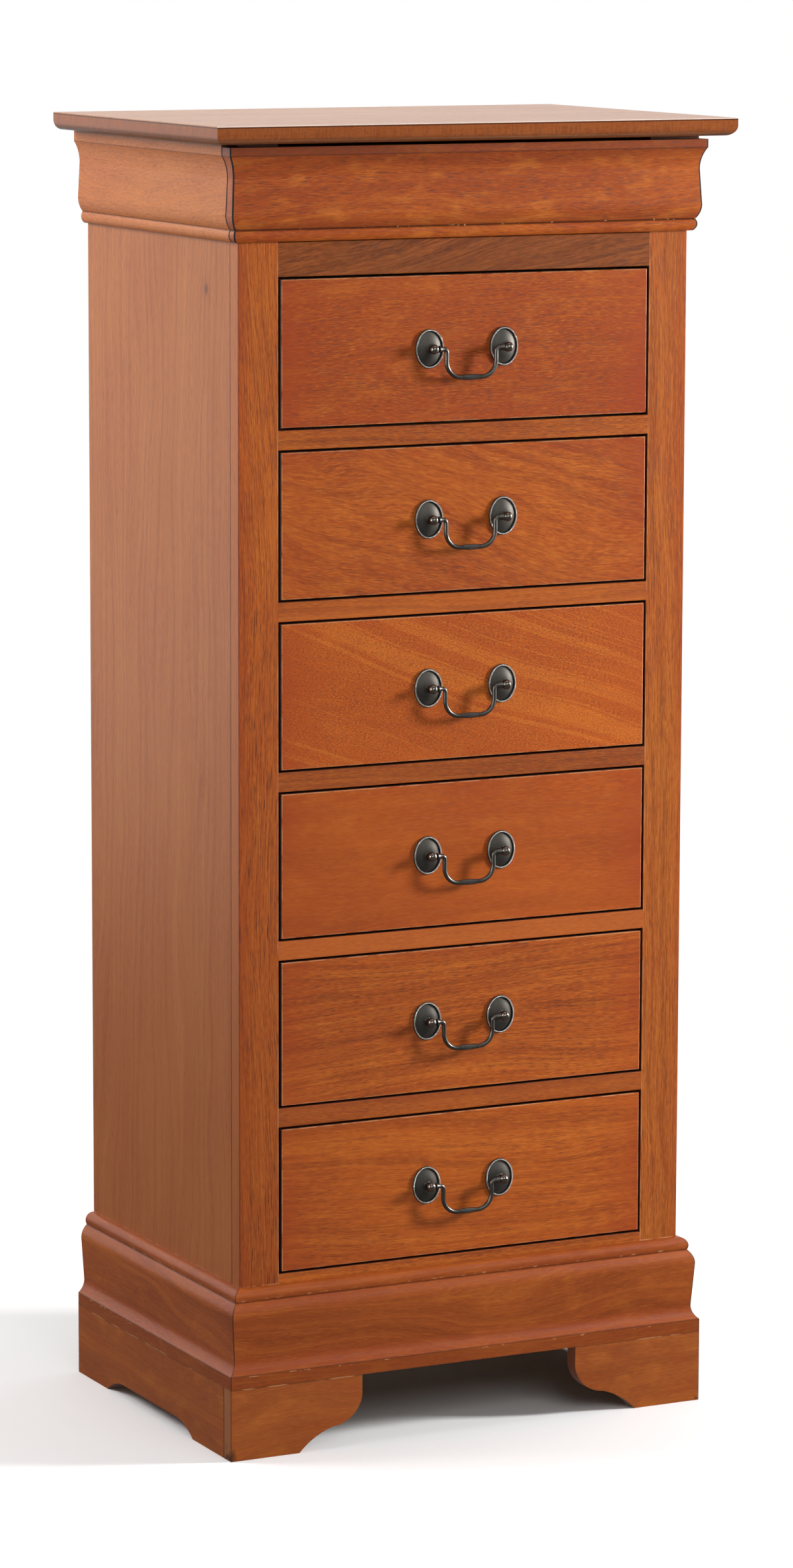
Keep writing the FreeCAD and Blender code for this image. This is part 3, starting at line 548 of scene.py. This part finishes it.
def pewterFinish(name):
    material, shader, start, place = newFinish(name)
    cloud = place.noise(90)
    grime = place.noise(900, 2.0, 3.0)
    wear = start.node("ShaderNodeAttribute", {"attribute_name": "wear"}, out="Fac")
    polished = wear.step(0.0, -0.5)
    colour = cloud.step(0.2, 0.8).blend(pewter["dark"], pewter["mid"])
    colour = (wear * (0.72 + grime * 0.5)).blend(colour, pewter["bright"])
    colour = polished.blend(colour, pewter["black"])
    rough = pewter["rough"] + (cloud - 0.5) * 0.12
    rough = rough - wear.step(0.06, 0.11) * (pewter["rough"] - pewter["satin"])
    rough = rough - polished * (pewter["rough"] - pewter["gloss"])
    feed(shader, {"Base Color": colour, "Roughness": rough, "Metallic": 0.90 - wear.step(0.35, 1.0) * 0.55,
                  "Specular Tint": (0.4, 0.4, 0.4, 1),  # dull at a glancing angle
                  "Normal": grime.bump(0.04, 0.1 * mm)})
    return material


def zincFinish(name):
    material, shader, start, place = newFinish(name)
    cloud = place.noise(260, 3.0)
    feed(shader, {"Base Color": cloud.step(0.3, 0.7).blend(zinc["dull"], zinc["bright"]),
                  "Roughness": zinc["rough"] + cloud * 0.16, "Metallic": 1.0})
    return material


def nylonFinish(name):
    material, shader, start, place = newFinish(name)
    fine = place.noise(2400, 1.0, 2.0)
    feed(shader, {"Base Color": place.noise(120).step(0.3, 0.7).blend(nylon["dull"], nylon["bright"]),
                  "Roughness": nylon["rough"] + fine * 0.12, "Normal": fine.bump(0.1, 0.05 * mm)})
    return material


pewterMetal = pewterFinish("agedPewter")
zincMetal = zincFinish("zincScrews")
nylonWhite = nylonFinish("nylonWhite")
give("runner_sockets", nylonWhite)
give("glide_buttons", nylonWhite)


# Pulls: rosettes with a milled rim, turned posts and bails

pole = 0.01 * mm  # turned shapes end in a very small disc
pull = dict(
    postX=40.4 * mm, pivotOut=11 * mm, plateWidth=30.3 * mm, plateHeight=38 * mm,
    rimWide=2.1 * mm, rimFoot=0.8 * mm, rimTall=1.1 * mm, rimOut=1.75 * mm,
    domeIn=5.4 * mm, domeFoot=0.9 * mm, domeTall=2.3 * mm, bossRadius=4.6 * mm, bossOut=3.25 * mm,
    ridges=76, ridgeLong=2.0 * mm, ridgeWide=1.05 * mm, ridgeTall=0.75 * mm,
    neck=2.5 * mm, ballRadius=4.8 * mm, ballLong=1.6,
)
bailSizes = dict(eyeGap=0.2 * mm, eyeRadius=3.4 * mm, eyeLong=0.6 * mm, rod=2.2 * mm, grip=2.95 * mm,
                 legX=26.8 * mm, elbow=3.4 * mm, corner=15.5 * mm, drop=27.8 * mm, pin=1.25 * mm,
                 pinLong=3.3 * mm)


def linked(name, data):
    thing = bpy.data.objects.new(name, data)
    bpy.context.scene.collection.objects.link(thing)
    return thing


def fullTurn(count):  # angles once round, in radians
    return [2 * math.pi * i / count for i in range(count)]


def arcPoints(centre, radius, start, end, count):
    # points on an arc, angles in degrees
    turns = [math.radians(start + (end - start) * i / count) for i in range(count + 1)]
    return [(centre[0] + radius * math.cos(t), centre[1] + radius * math.sin(t)) for t in turns]


def skinned(rings, wears):
    # a closed skin over a row of rings, each with its own wear
    work = bmesh.new()
    wearAndSheen = work.verts.layers.float.new("wear")
    rows = []
    for ring, wear in zip(rings, wears):
        row = [work.verts.new(point) for point in ring]
        for vert in row:
            vert[wearAndSheen] = wear
        rows.append(row)
    for first, second in zip(rows, rows[1:]):
        for i in range(len(first)):
            j = (i + 1) % len(first)
            work.faces.new((first[i], first[j], second[j], second[i]))
    work.faces.new(rows[0])
    work.faces.new(list(reversed(rows[-1])))
    bmesh.ops.recalc_face_normals(work, faces=work.faces)
    return work


def spun(profile, segments, squeeze=1.0):
    # turns a list of (radius, out, wear) about the pull's own axis, which points at -Y
    rings = [[(radius * math.cos(t) * squeeze, -out, radius * math.sin(t)) for t in fullTurn(segments)]
             for radius, out, wear in profile]
    return skinned(rings, [row[2] for row in profile])


def inMm(*rows):  # rows of a profile, with its sizes in mm
    return [(radius * mm, out * mm, wear) for radius, out, wear in rows]


def toMesh(work, name, angle):
    mesh = bpy.data.meshes.new(name)
    work.to_mesh(mesh)
    work.free()
    mesh.polygons.foreach_set("use_smooth", [True] * len(mesh.polygons))
    mesh.set_sharp_from_angle(angle=math.radians(angle))
    return mesh


def rosettePlate():
    p = pull
    tall = p["plateHeight"] / 2
    rimIn = tall - p["rimWide"]
    profile = [(pole, 0, 0), (tall - 0.2 * mm, 0, 0), (tall, 0.2 * mm, 0), (tall, p["rimFoot"], 0.1)]
    for i in range(1, 8):
        turn = math.pi * i / 8
        inwards = p["rimWide"] / 2 * (1 - math.cos(turn))
        profile.append((tall - inwards, p["rimFoot"] + p["rimTall"] * math.sin(turn), 0.0))
    profile += [(rimIn, 0.75 * mm, 0), (rimIn - 0.55 * mm, 0.75 * mm, 0)]
    for i in range(15):
        share = i / 14
        rise = math.sin(share * math.pi / 2) ** 1.2
        profile.append((rimIn - 0.8 * mm - (rimIn - p["domeIn"]) * share,
                        p["domeFoot"] + p["domeTall"] * rise, 0.05))
    profile += [(p["bossRadius"], p["bossOut"], 0), (pole, p["bossOut"], 0)]
    return spun(profile, 96, p["plateWidth"] / p["plateHeight"])


def turnedPost():
    ball, out, neck = pull["ballRadius"], pull["pivotOut"], pull["neck"]
    lowTurn = -math.degrees(math.acos(neck / ball))
    profile = inMm((0.01, 3.2, 0), (4.0, 3.2, 0), (4.1, 3.4, 0.1), (4.1, 3.7, 0.1), (3.6, 4.0, 0))
    profile.append((neck, 4.2 * mm, 0))
    for radius, reach in arcPoints((0, out), ball, lowTurn, 88, 16):
        stretch = pull["ballLong"] if reach < out else 1.0  # egg shaped, longer towards the plate
        profile.append((radius, out + (reach - out) * stretch, -1.0))
    return spun(profile, 36)


def machineScrew():
    # shank through the drawer front and a pan head inside the drawer
    shank = inMm((0.01, 3.2, 0), (2.0, 3.2, 0))
    head = inMm((2.0, 0, 0), (4.0, 0, 0.2), (4.0, -1.4, 0.3), (3.4, -2.4, 0.3), (2.2, -2.8, 0.3),
                (0.9, -2.8, 0.2), (0.6, -1.6, 0), (0.01, -1.6, 0))
    return spun(shank + [(radius, out - boardThick, wear) for radius, out, wear in head], 24)


def newTree(name, sockets):
    tree = bpy.data.node_groups.new(name, "GeometryNodeTree")
    for label, kind in {"Geometry": "Geometry", **sockets, "Finish": "Material"}.items():
        tree.interface.new_socket(label, in_out="INPUT", socket_type="NodeSocket" + kind)
    tree.interface.new_socket("Geometry", in_out="OUTPUT", socket_type="NodeSocketGeometry")

    def add(kind, links=None, out=0, **settings):
        made = tree.nodes.new(kind)
        for key, value in settings.items():
            setattr(made, key, value)
        for key, source in (links or {}).items():
            if isinstance(source, bpy.types.NodeSocket):
                tree.links.new(source, made.inputs[key])
            else:
                made.inputs[key].default_value = source
        return made.outputs[out] if len(made.outputs) else made
    return tree, add, tree.nodes.new("NodeGroupInput").outputs


def endTree(tree, add, given, geometry):
    real = add("GeometryNodeRealizeInstances", {"Geometry": geometry})
    smooth = add("GeometryNodeSetShadeSmooth", {"Geometry": real})
    done = add("GeometryNodeSetMaterial", {"Geometry": smooth, "Material": given["Finish"]})
    add("NodeGroupOutput", {0: done})
    return tree


def plainMesh(thing):  # the mesh that an object's modifiers give
    bpy.context.view_layer.update()
    return bpy.data.meshes.new_from_object(thing.evaluated_get(bpy.context.evaluated_depsgraph_get()))


def grownMesh(tree, base, **inputs):
    # runs a geometry node tree on a mesh and keeps the plain result
    holder = linked("holder", base)
    modifier = holder.modifiers.new("grow", "NODES")
    modifier.node_group = tree
    for item in tree.interface.items_tree:
        if item.in_out == "INPUT" and item.name in inputs:
            modifier[item.identifier] = inputs[item.name]
    mesh = plainMesh(holder)
    holder.modifiers.remove(modifier)
    bpy.data.objects.remove(holder)
    return mesh


def rimTree():
    # ridges along an oval, pointing outwards
    tree, add, given = newTree("milledRim", {"Ridge Count": "Int", "Half Width": "Float",
                                             "Half Height": "Float", "Ridge Size": "Vector"})
    oval = add("GeometryNodeCurvePrimitiveCircle", {"Resolution": 256, "Radius": 1.0})
    shape = add("ShaderNodeCombineXYZ", {"X": given["Half Width"], "Y": given["Half Height"], "Z": 1.0})
    sized = add("GeometryNodeTransform", {"Geometry": oval, "Scale": shape})
    points = add("GeometryNodeCurveToPoints", {"Curve": sized, "Count": given["Ridge Count"]}, mode="COUNT")
    turn = add("FunctionNodeAlignRotationToVector", {"Vector": points.node.outputs["Tangent"]},
               axis="Y", pivot_axis="Z")
    grain = add("GeometryNodeMeshUVSphere", {"Segments": 8, "Rings": 6, "Radius": 0.5})
    ridge = add("GeometryNodeTransform", {"Geometry": grain, "Scale": given["Ridge Size"]})
    ridges = add("GeometryNodeInstanceOnPoints", {"Points": points, "Instance": ridge, "Rotation": turn})
    return endTree(tree, add, given, ridges)


def milledRim():
    middle = pull["plateHeight"] / 2 - pull["rimWide"] / 2 - 0.05 * mm
    squeeze = pull["plateWidth"] / pull["plateHeight"]
    mesh = grownMesh(rimTree(), bpy.data.meshes.new("rim"), **{
        "Ridge Count": pull["ridges"], "Half Width": middle * squeeze, "Half Height": middle,
        "Ridge Size": (pull["ridgeLong"], pull["ridgeWide"], pull["ridgeTall"] * 2), "Finish": pewterMetal})
    work = bmesh.new()
    work.from_mesh(mesh)
    wearAndSheen = work.verts.layers.float.new("wear")
    for vert in work.verts:
        vert[wearAndSheen] = max(0.0, min(1.0, 0.4 + 0.4 * vert.co.z / pull["ridgeTall"]))
    # the oval lies in XY, the plate faces -Y
    bmesh.ops.transform(work, matrix=Matrix.Rotation(math.radians(90), 4, "X"), verts=work.verts)
    bmesh.ops.translate(work, vec=(0, -pull["rimOut"], 0), verts=work.verts)
    return work


def joined(parts, name):
    # puts several meshes, each with a shift, into one
    total = bmesh.new()
    for mesh, shift in parts:
        copy = mesh.copy()
        copy.transform(Matrix.Translation(shift))
        total.from_mesh(copy)
        bpy.data.meshes.remove(copy)
    mesh = bpy.data.meshes.new(name)
    total.to_mesh(mesh)
    total.free()
    return mesh


def pullFittings():
    pieces = [toMesh(rosettePlate(), "plate", 35), toMesh(turnedPost(), "post", 35),
              toMesh(machineScrew(), "pullScrew", 35), toMesh(milledRim(), "rim", 80)]
    shifts = [Vector((side * pull["postX"], 0, 0)) for side in (-1, 1)]
    return joined([(piece, shift) for shift in shifts for piece in pieces], "pullFittings")


def tubeMesh(path, sides, name, wears=None):
    # a closed tube through points (x, z, radius) of the XZ plane
    rings = []
    for i, (px, pz, radius) in enumerate(path):
        before = path[max(i - 1, 0)]
        after = path[min(i + 1, len(path) - 1)]
        ahead = Vector((after[0] - before[0], 0, after[1] - before[1]))
        if ahead.length < 1e-7:
            ahead = Vector((-1, 0, 0))
        ahead.normalize()
        out = Vector((-ahead.z, 0, ahead.x))
        spokes = [out * math.cos(t) + Vector((0, math.sin(t), 0)) for t in fullTurn(sides)]
        rings.append([Vector((px, 0, pz)) + spoke * radius for spoke in spokes])
    return toMesh(skinned(rings, wears or [0.0] * len(path)), name, 50)


def bailMesh():
    b = bailSizes
    rod, elbow, drop, leg = b["rod"], b["elbow"], b["drop"], b["legX"]
    eye = pull["postX"] - pull["ballRadius"] - b["eyeGap"]
    half = leg - b["corner"]
    path = [(eye + b["pinLong"], 0.0, b["pin"] * 0.9), (eye + b["pinLong"], 0.0, b["pin"]),
            (eye, 0.0, b["pin"]), (eye, 0.0, b["eyeRadius"] - 0.5 * mm),
            (eye - 0.15 * mm, 0.0, b["eyeRadius"] - 0.15 * mm), (eye - b["eyeLong"], 0.0, b["eyeRadius"])]
    for i in range(1, 7):
        share = i / 6
        run = (eye - leg - elbow - b["eyeLong"]) * share
        path.append((eye - b["eyeLong"] - run, 0.0, b["eyeRadius"] + (rod - b["eyeRadius"]) * share ** 0.7))
    path += [(px, pz, rod) for px, pz in arcPoints((leg + elbow, -elbow), elbow, 90, 180, 8)[1:]]
    path += [(leg, -elbow - (drop - b["corner"] - elbow) * i / 4, rod) for i in range(1, 5)]
    path += [(px, pz, rod) for px, pz in arcPoints((half, b["corner"] - drop), b["corner"], 0, -90, 14)[1:]]
    for i in range(1, 9):
        share = i / 8
        swell = math.sin(share * math.pi / 2) ** 1.5
        path.append((half * (1 - share), -drop, rod + (b["grip"] - rod) * swell))
    path += [(-px, pz, radius) for px, pz, radius in reversed(path[:-1])]

    # the grip is rubbed by hands
    wears = [0.09 + 0.12 * max(0.0, 1 - abs(px) / half) * (pz < -drop * 0.9) for px, pz, radius in path]
    return tubeMesh(path, 24, "bail", wears)


def placed(mesh, name, shift, body, stoodFor, material):
    copy = mesh.copy()
    copy.name = name
    copy.transform(Matrix.Translation(shift))
    copy.materials.clear()
    copy.materials.append(material)
    piece = linked(name, copy)
    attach(piece, body)
    if stoodFor:
        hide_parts(stoodFor)


fittings = pullFittings()
bail = bailMesh()
for number, drawer in drawers.items():
    low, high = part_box(drawer + "_pull_fittings")
    level = (low.z + high.z) / 2
    placed(fittings, drawer + "_rosettes", Vector((0, faceY, level)), drawer,
           drawer + "_pull_fittings", pewterMetal)
    placed(bail, drawer + "_bail_rod", Vector((0, faceY - pull["pivotOut"], level)), "bail_%d" % number,
           drawer + "_bail", pewterMetal)
print("pulls made")


# Wood screws with a cross recess, and staples round the back panel

screwSizes = dict(headRadius=3.6 * mm, headTall=2.2 * mm, shank=1.9 * mm, thread=0.35 * mm,
                  crossLong=2.2 * mm, crossWide=0.45 * mm, crossDeep=1.3 * mm, turns=9)


def solidsOf(name):
    # the separate solids of a CAD node, each as a list of points
    work = bmesh.new()
    work.from_mesh(nodes[name].data)
    bmesh.ops.remove_doubles(work, verts=work.verts, dist=1e-6)
    left = set(work.verts)
    groups = []
    while left:
        stack = [left.pop()]
        group = []
        while stack:
            vert = stack.pop()
            group.append(vert.co.copy())
            for edge in vert.link_edges:
                other = edge.other_vert(vert)
                if other in left:
                    left.remove(other)
                    stack.append(other)
        groups.append(group)
    work.free()
    return groups


def screwPlaces(name):
    # head end, direction towards the tip, length and kind of each screw in a CAD node
    places = []
    for points in solidsOf(name):
        low = Vector([min(p[i] for p in points) for i in range(3)])
        high = Vector([max(p[i] for p in points) for i in range(3)])
        axis = max(range(3), key=lambda i: high[i] - low[i])
        middle = (low + high) / 2
        reach = []
        for point in points:
            aside = point - middle
            aside[axis] = 0
            reach.append(aside.length)
        wide = [p[axis] for p, r in zip(points, reach) if r > max(reach) - 0.1 * mm]
        flush = max(wide) - min(wide) < 0.5 * mm
        atLow = sum(wide) / len(wide) < middle[axis]
        head = middle.copy()
        head[axis] = low[axis] if atLow else high[axis]
        ahead = Vector((0, 0, 0))
        ahead[axis] = 1 if atLow else -1
        places.append((head, ahead, high[axis] - low[axis], flush))
    return places


def pointDown(work):
    bmesh.ops.transform(work, matrix=Matrix.Rotation(math.radians(-90), 4, "X"), verts=work.verts)
    return work


def screwHead(flush):
    # top of the head at z = 0, the shank points down
    s = screwSizes
    wide, tall = s["headRadius"], s["headTall"]
    if flush:
        profile = [(pole, 0, 0), (wide - 0.1 * mm, 0, 0), (wide, -0.15 * mm, 0), (s["shank"], -tall, 0),
                   (pole, -tall, 0)]
    else:
        profile = [(pole, 0, 0), (wide * 0.45, -0.06 * mm, 0), (wide * 0.75, -0.35 * mm, 0),
                   (wide * 0.94, -0.9 * mm, 0), (wide, -1.5 * mm, 0), (wide, -tall, 0), (pole, -tall, 0)]
    cross = bmesh.new()
    for turn in (0, 90):
        made = bmesh.ops.create_cube(cross, size=1.0)["verts"]
        size = Matrix.Diagonal((s["crossLong"] * 2, s["crossWide"] * 2, s["crossDeep"] * 2, 1))
        bmesh.ops.transform(cross, matrix=Matrix.Rotation(math.radians(turn), 4, "Z") @ size, verts=made)
    holder = linked("head", toMesh(pointDown(spun(profile, 24)), "head", 35))
    cutter = linked("cross", toMesh(cross, "cross", 35))
    cut = holder.modifiers.new("recess", "BOOLEAN")
    cut.operation = "DIFFERENCE"
    cut.solver = "EXACT"
    cut.use_self = True
    cut.object = cutter
    mesh = plainMesh(holder)
    bpy.data.objects.remove(holder)
    bpy.data.objects.remove(cutter)
    return mesh


def screwShank():
    # unit length along -z, so that each screw can have its own length
    s = screwSizes
    profile = [(pole, 0, 0), (s["shank"], 0, 0), (s["shank"], -0.2, 0)]
    for i in range(s["turns"]):
        at = -0.22 - 0.66 * i / s["turns"]
        profile += [(s["shank"] + s["thread"], at - 0.02, 0), (s["shank"] - 0.2 * mm, at - 0.05, 0)]
    profile += [(s["shank"] * 0.7, -0.92, 0), (0.05 * mm, -1.0, 0)]
    return toMesh(pointDown(spun(profile, 12)), "shank", 30)


def screwTree():
    tree, add, given = newTree("crossScrews", {"Head": "Object", "Shank": "Object"})
    ahead = add("GeometryNodeInputNamedAttribute", {"Name": "ahead"}, data_type="FLOAT_VECTOR")
    length = add("GeometryNodeInputNamedAttribute", {"Name": "length"}, data_type="FLOAT")
    back = add("ShaderNodeVectorMath", {0: ahead, 1: (-1, -1, -1)}, operation="MULTIPLY")
    turn = add("FunctionNodeAlignRotationToVector", {"Vector": back}, axis="Z")
    stretch = add("ShaderNodeCombineXYZ", {"X": 1.0, "Y": 1.0, "Z": length})
    parts = []
    for label, scale in (("Head", None), ("Shank", stretch)):
        shape = add("GeometryNodeObjectInfo", {"Object": given[label]}, out="Geometry")
        links = {"Points": given["Geometry"], "Instance": shape, "Rotation": turn}
        if scale:
            links["Scale"] = scale
        parts.append(add("GeometryNodeInstanceOnPoints", links))
    both = add("GeometryNodeJoinGeometry")
    for part in reversed(parts):
        tree.links.new(part, both.node.inputs[0])
    return endTree(tree, add, given, both)


def screwSet(name):
    tree = screwTree()
    shank = linked("shank", screwShank())
    groups = []
    for flush in (False, True):
        places = [place for place in screwPlaces(name) if place[3] == flush]
        if not places:
            continue
        head = linked("headShape", screwHead(flush))
        base = bpy.data.meshes.new("screwPoints")
        base.from_pydata([place[0] for place in places], [], [])
        ahead = base.attributes.new("ahead", "FLOAT_VECTOR", "POINT")
        ahead.data.foreach_set("vector", [c for place in places for c in place[1]])
        length = base.attributes.new("length", "FLOAT", "POINT")
        length.data.foreach_set("value", [place[2] for place in places])
        groups.append((grownMesh(tree, base, Head=head, Shank=shank, Finish=zincMetal), Vector()))
        bpy.data.objects.remove(head)
    bpy.data.objects.remove(shank)
    return joined(groups, name)


placed(screwSet("wood_screws"), "case_screws", Vector(), "case", "wood_screws", zincMetal)
placed(screwSet("cornice_drawer_screws"), "cornice_front_screws", Vector(), "cornice_drawer",
       "cornice_drawer_screws", zincMetal)

stapleSizes = dict(crown=10 * mm, wire=0.55 * mm, spacing=82 * mm, inset=6.5 * mm, corner=35 * mm,
                   proud=0.35 * mm, bend=0.5 * mm, leg=2 * mm)


def bentStaple():
    s = stapleSizes
    half, bend = s["crown"] / 2, s["bend"]
    path = [(-half, -s["leg"]), (-half, -bend), (-half + bend, 0), (half - bend, 0), (half, -bend),
            (half, -s["leg"])]
    return tubeMesh([(px, pz, s["wire"]) for px, pz in path], 6, "staple")


def stapleTree():
    # one staple at even steps along the edges of a wire mesh
    tree, add, given = newTree("stapleRows", {"Spacing": "Float", "Staple": "Object"})
    rows = add("GeometryNodeMeshToCurve", {"Mesh": given["Geometry"]})
    points = add("GeometryNodeCurveToPoints", {"Curve": rows, "Length": given["Spacing"]}, mode="LENGTH")
    turn = add("FunctionNodeAlignRotationToVector", {"Vector": points.node.outputs["Tangent"]},
               axis="X", pivot_axis="Y")
    shape = add("GeometryNodeObjectInfo", {"Object": given["Staple"]}, out="Geometry")
    staples = add("GeometryNodeInstanceOnPoints", {"Points": points, "Instance": shape, "Rotation": turn})
    return endTree(tree, add, given, staples)


def backStaples():
    low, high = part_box("back_panel")
    edge = stapleSizes["inset"]
    inset = stapleSizes["corner"]
    atY = high.y + stapleSizes["proud"] - stapleSizes["wire"]
    left, right, bottom, top = low.x + edge, high.x - edge, low.z + edge, high.z - edge
    ends = [(x, atY, z) for x in (left, 0, right) for z in (bottom + inset, top - inset)]
    ends += [(x, atY, z) for z in (bottom, top) for x in (left + inset, right - inset)]
    base = bpy.data.meshes.new("stapleRows")
    base.from_pydata(ends, [(i, i + 1) for i in range(0, len(ends), 2)], [])
    staple = linked("staple", bentStaple())
    staple.data.transform(Matrix.Rotation(math.radians(-90), 4, "X"))
    mesh = grownMesh(stapleTree(), base, Spacing=stapleSizes["spacing"], Staple=staple, Finish=zincMetal)
    bpy.data.objects.remove(staple)
    return mesh


placed(backStaples(), "back_staples", Vector(), "case", None, zincMetal)
print("screws and staples made")


# Studio: floor, world, lamps and camera

studio = dict(floorHalf=60.0, floorNear=0.5, floorFar=1.6, floorTone=0.92, bounceTone=0.40, ambient=0.24,
              dim=0.14, glowNear=2.0, glowFar=5.2)
white = (1, 1, 1, 1)


def rayKinds(start):
    rays = start.node("ShaderNodeLightPath")
    mirrored = rays.also("Is Glossy Ray").upper(rays.also("Is Transmission Ray"))
    return rays.also("Is Camera Ray"), mirrored, rays.also("Is Diffuse Ray")


def studioFloor():
    work = bmesh.new()
    bmesh.ops.create_grid(work, x_segments=8, y_segments=8, size=studio["floorHalf"])
    bmesh.ops.translate(work, vec=(0, 0, -0.2 * mm), verts=work.verts)
    mesh = bpy.data.meshes.new("studioFloor")
    work.to_mesh(mesh)
    work.free()
    floor = linked("studioFloor", mesh)
    material, shader, start, place = newFinish("paleFloor")
    x, y, z = place.parts()
    away = (x * x + y * y).root()
    toCamera, mirrored, bounced = rayKinds(start)
    paperTone = studio["floorTone"] - bounced * (studio["floorTone"] - studio["bounceTone"])
    grey = start.node("ShaderNodeCombineColor", None, {0: paperTone, 1: paperTone, 2: paperTone})
    paper = start.node("ShaderNodeBsdfDiffuse", None, {"Color": grey})
    # the room behind the camera is dim, the sweep behind the chest is white
    room = away.step(studio["glowNear"], studio["glowFar"]) * y.step(-1.0, 0.3)
    glow = toCamera.upper(studio["dim"] + room * (1 - studio["dim"]))
    sweep = start.node("ShaderNodeEmission", None, {"Color": white, "Strength": glow})
    share = (away.step(studio["floorNear"], studio["floorFar"]) * toCamera).upper(mirrored)
    both = start.node("ShaderNodeMixShader", None, {0: share, 1: paper, 2: sweep})
    feed(material.node_tree.nodes["Material Output"], {"Surface": both})
    material.node_tree.nodes.remove(shader)
    mesh.materials.append(material)


def studioWorld():
    world = bpy.data.worlds.new("studio")
    bpy.context.scene.world = world
    world.use_nodes = True
    start = Shade(world.node_tree)
    toCamera, mirrored, bounced = rayKinds(start)
    ahead = start.node("ShaderNodeTexCoord", out="Generated").parts()[1]
    glow = studio["dim"] + ahead.step(-0.4, 0.15) * (1 - studio["dim"])
    seen = studio["ambient"] + mirrored * (glow - studio["ambient"])
    feed(world.node_tree.nodes["Background"], {"Color": white, "Strength": seen.upper(toCamera)})


lamps = dict(
    sideKey=dict(place=(2.7, -1.28, 1.40), aim=(0, -0.16, 0.72), size=(0.45, 0.65), level=1.48),
    leftStrip=dict(place=(-2.2, -0.7, 1.1), aim=(0, -0.16, 0.72), size=(0.4, 1.4), level=0.5, matt=False),
    rightStrip=dict(place=(1.8, -0.42, 0.9), aim=(0, -0.16, 0.80), size=(0.5, 2.0), level=0.55, matt=False),
    frontSpot=dict(place=(-1.8, -3.6, 1.7), aim=(0, -0.16, 0.72), size=(0.5, 0.5), level=0.10, matt=False),
    frontFill=dict(place=(-0.4, -4.4, 3.0), aim=(0, 0, 0.75), size=(3.0, 2.2), level=0.22),
    overhead=dict(place=(0.3, 0.4, 5.2), aim=(0, 0, 0.6), size=(3.0, 3.0), level=0.36),
    leftBack=dict(place=(-1.8, 1.1, 2.0), aim=(-0.24, 0, 1.2), size=(1.2, 1.2), level=1.10),
)
camera = dict(place=(-2.45965, -4.93488, 1.50898), azimuth=-26.55, elevation=9.10, roll=0.16, lens=127.38)


def standing(name, data, place, turn):
    thing = linked(name, data)
    thing.location = place
    thing.rotation_mode = "QUATERNION"
    thing.rotation_quaternion = turn
    return thing


def softbox(name, lamp):
    # level: how bright a white card at the aim looks when it faces the lamp
    data = bpy.data.lights.new(name, "AREA")
    data.shape = "RECTANGLE"
    data.size, data.size_y = lamp["size"]
    ahead = Vector(lamp["aim"]) - Vector(lamp["place"])
    data.energy = lamp["level"] * math.pi ** 2 * ahead.length ** 2
    thing = standing(name, data, lamp["place"], ahead.to_track_quat("-Z", "Y"))
    thing.visible_diffuse = lamp.get("matt", True)  # the strips only show in what shines


def studioCamera():
    data = bpy.data.cameras.new("photoCamera")
    data.lens = camera["lens"]
    data.sensor_width = 36.0
    data.clip_start = 0.1
    data.clip_end = 200.0
    turn, lift = math.radians(camera["azimuth"]), math.radians(camera["elevation"])
    back = Vector((math.sin(turn) * math.cos(lift), -math.cos(turn) * math.cos(lift), math.sin(lift)))
    look = (-back).to_track_quat("-Z", "Y").to_matrix()
    look = look @ Matrix.Rotation(math.radians(camera["roll"]), 3, "Z")
    bpy.context.scene.camera = standing("photoCamera", data, camera["place"], look.to_quaternion())


studioFloor()
studioWorld()
for lampName, lamp in lamps.items():
    softbox(lampName, lamp)
studioCamera()
bpy.context.scene.view_settings.view_transform = "Standard"
print("studio set")
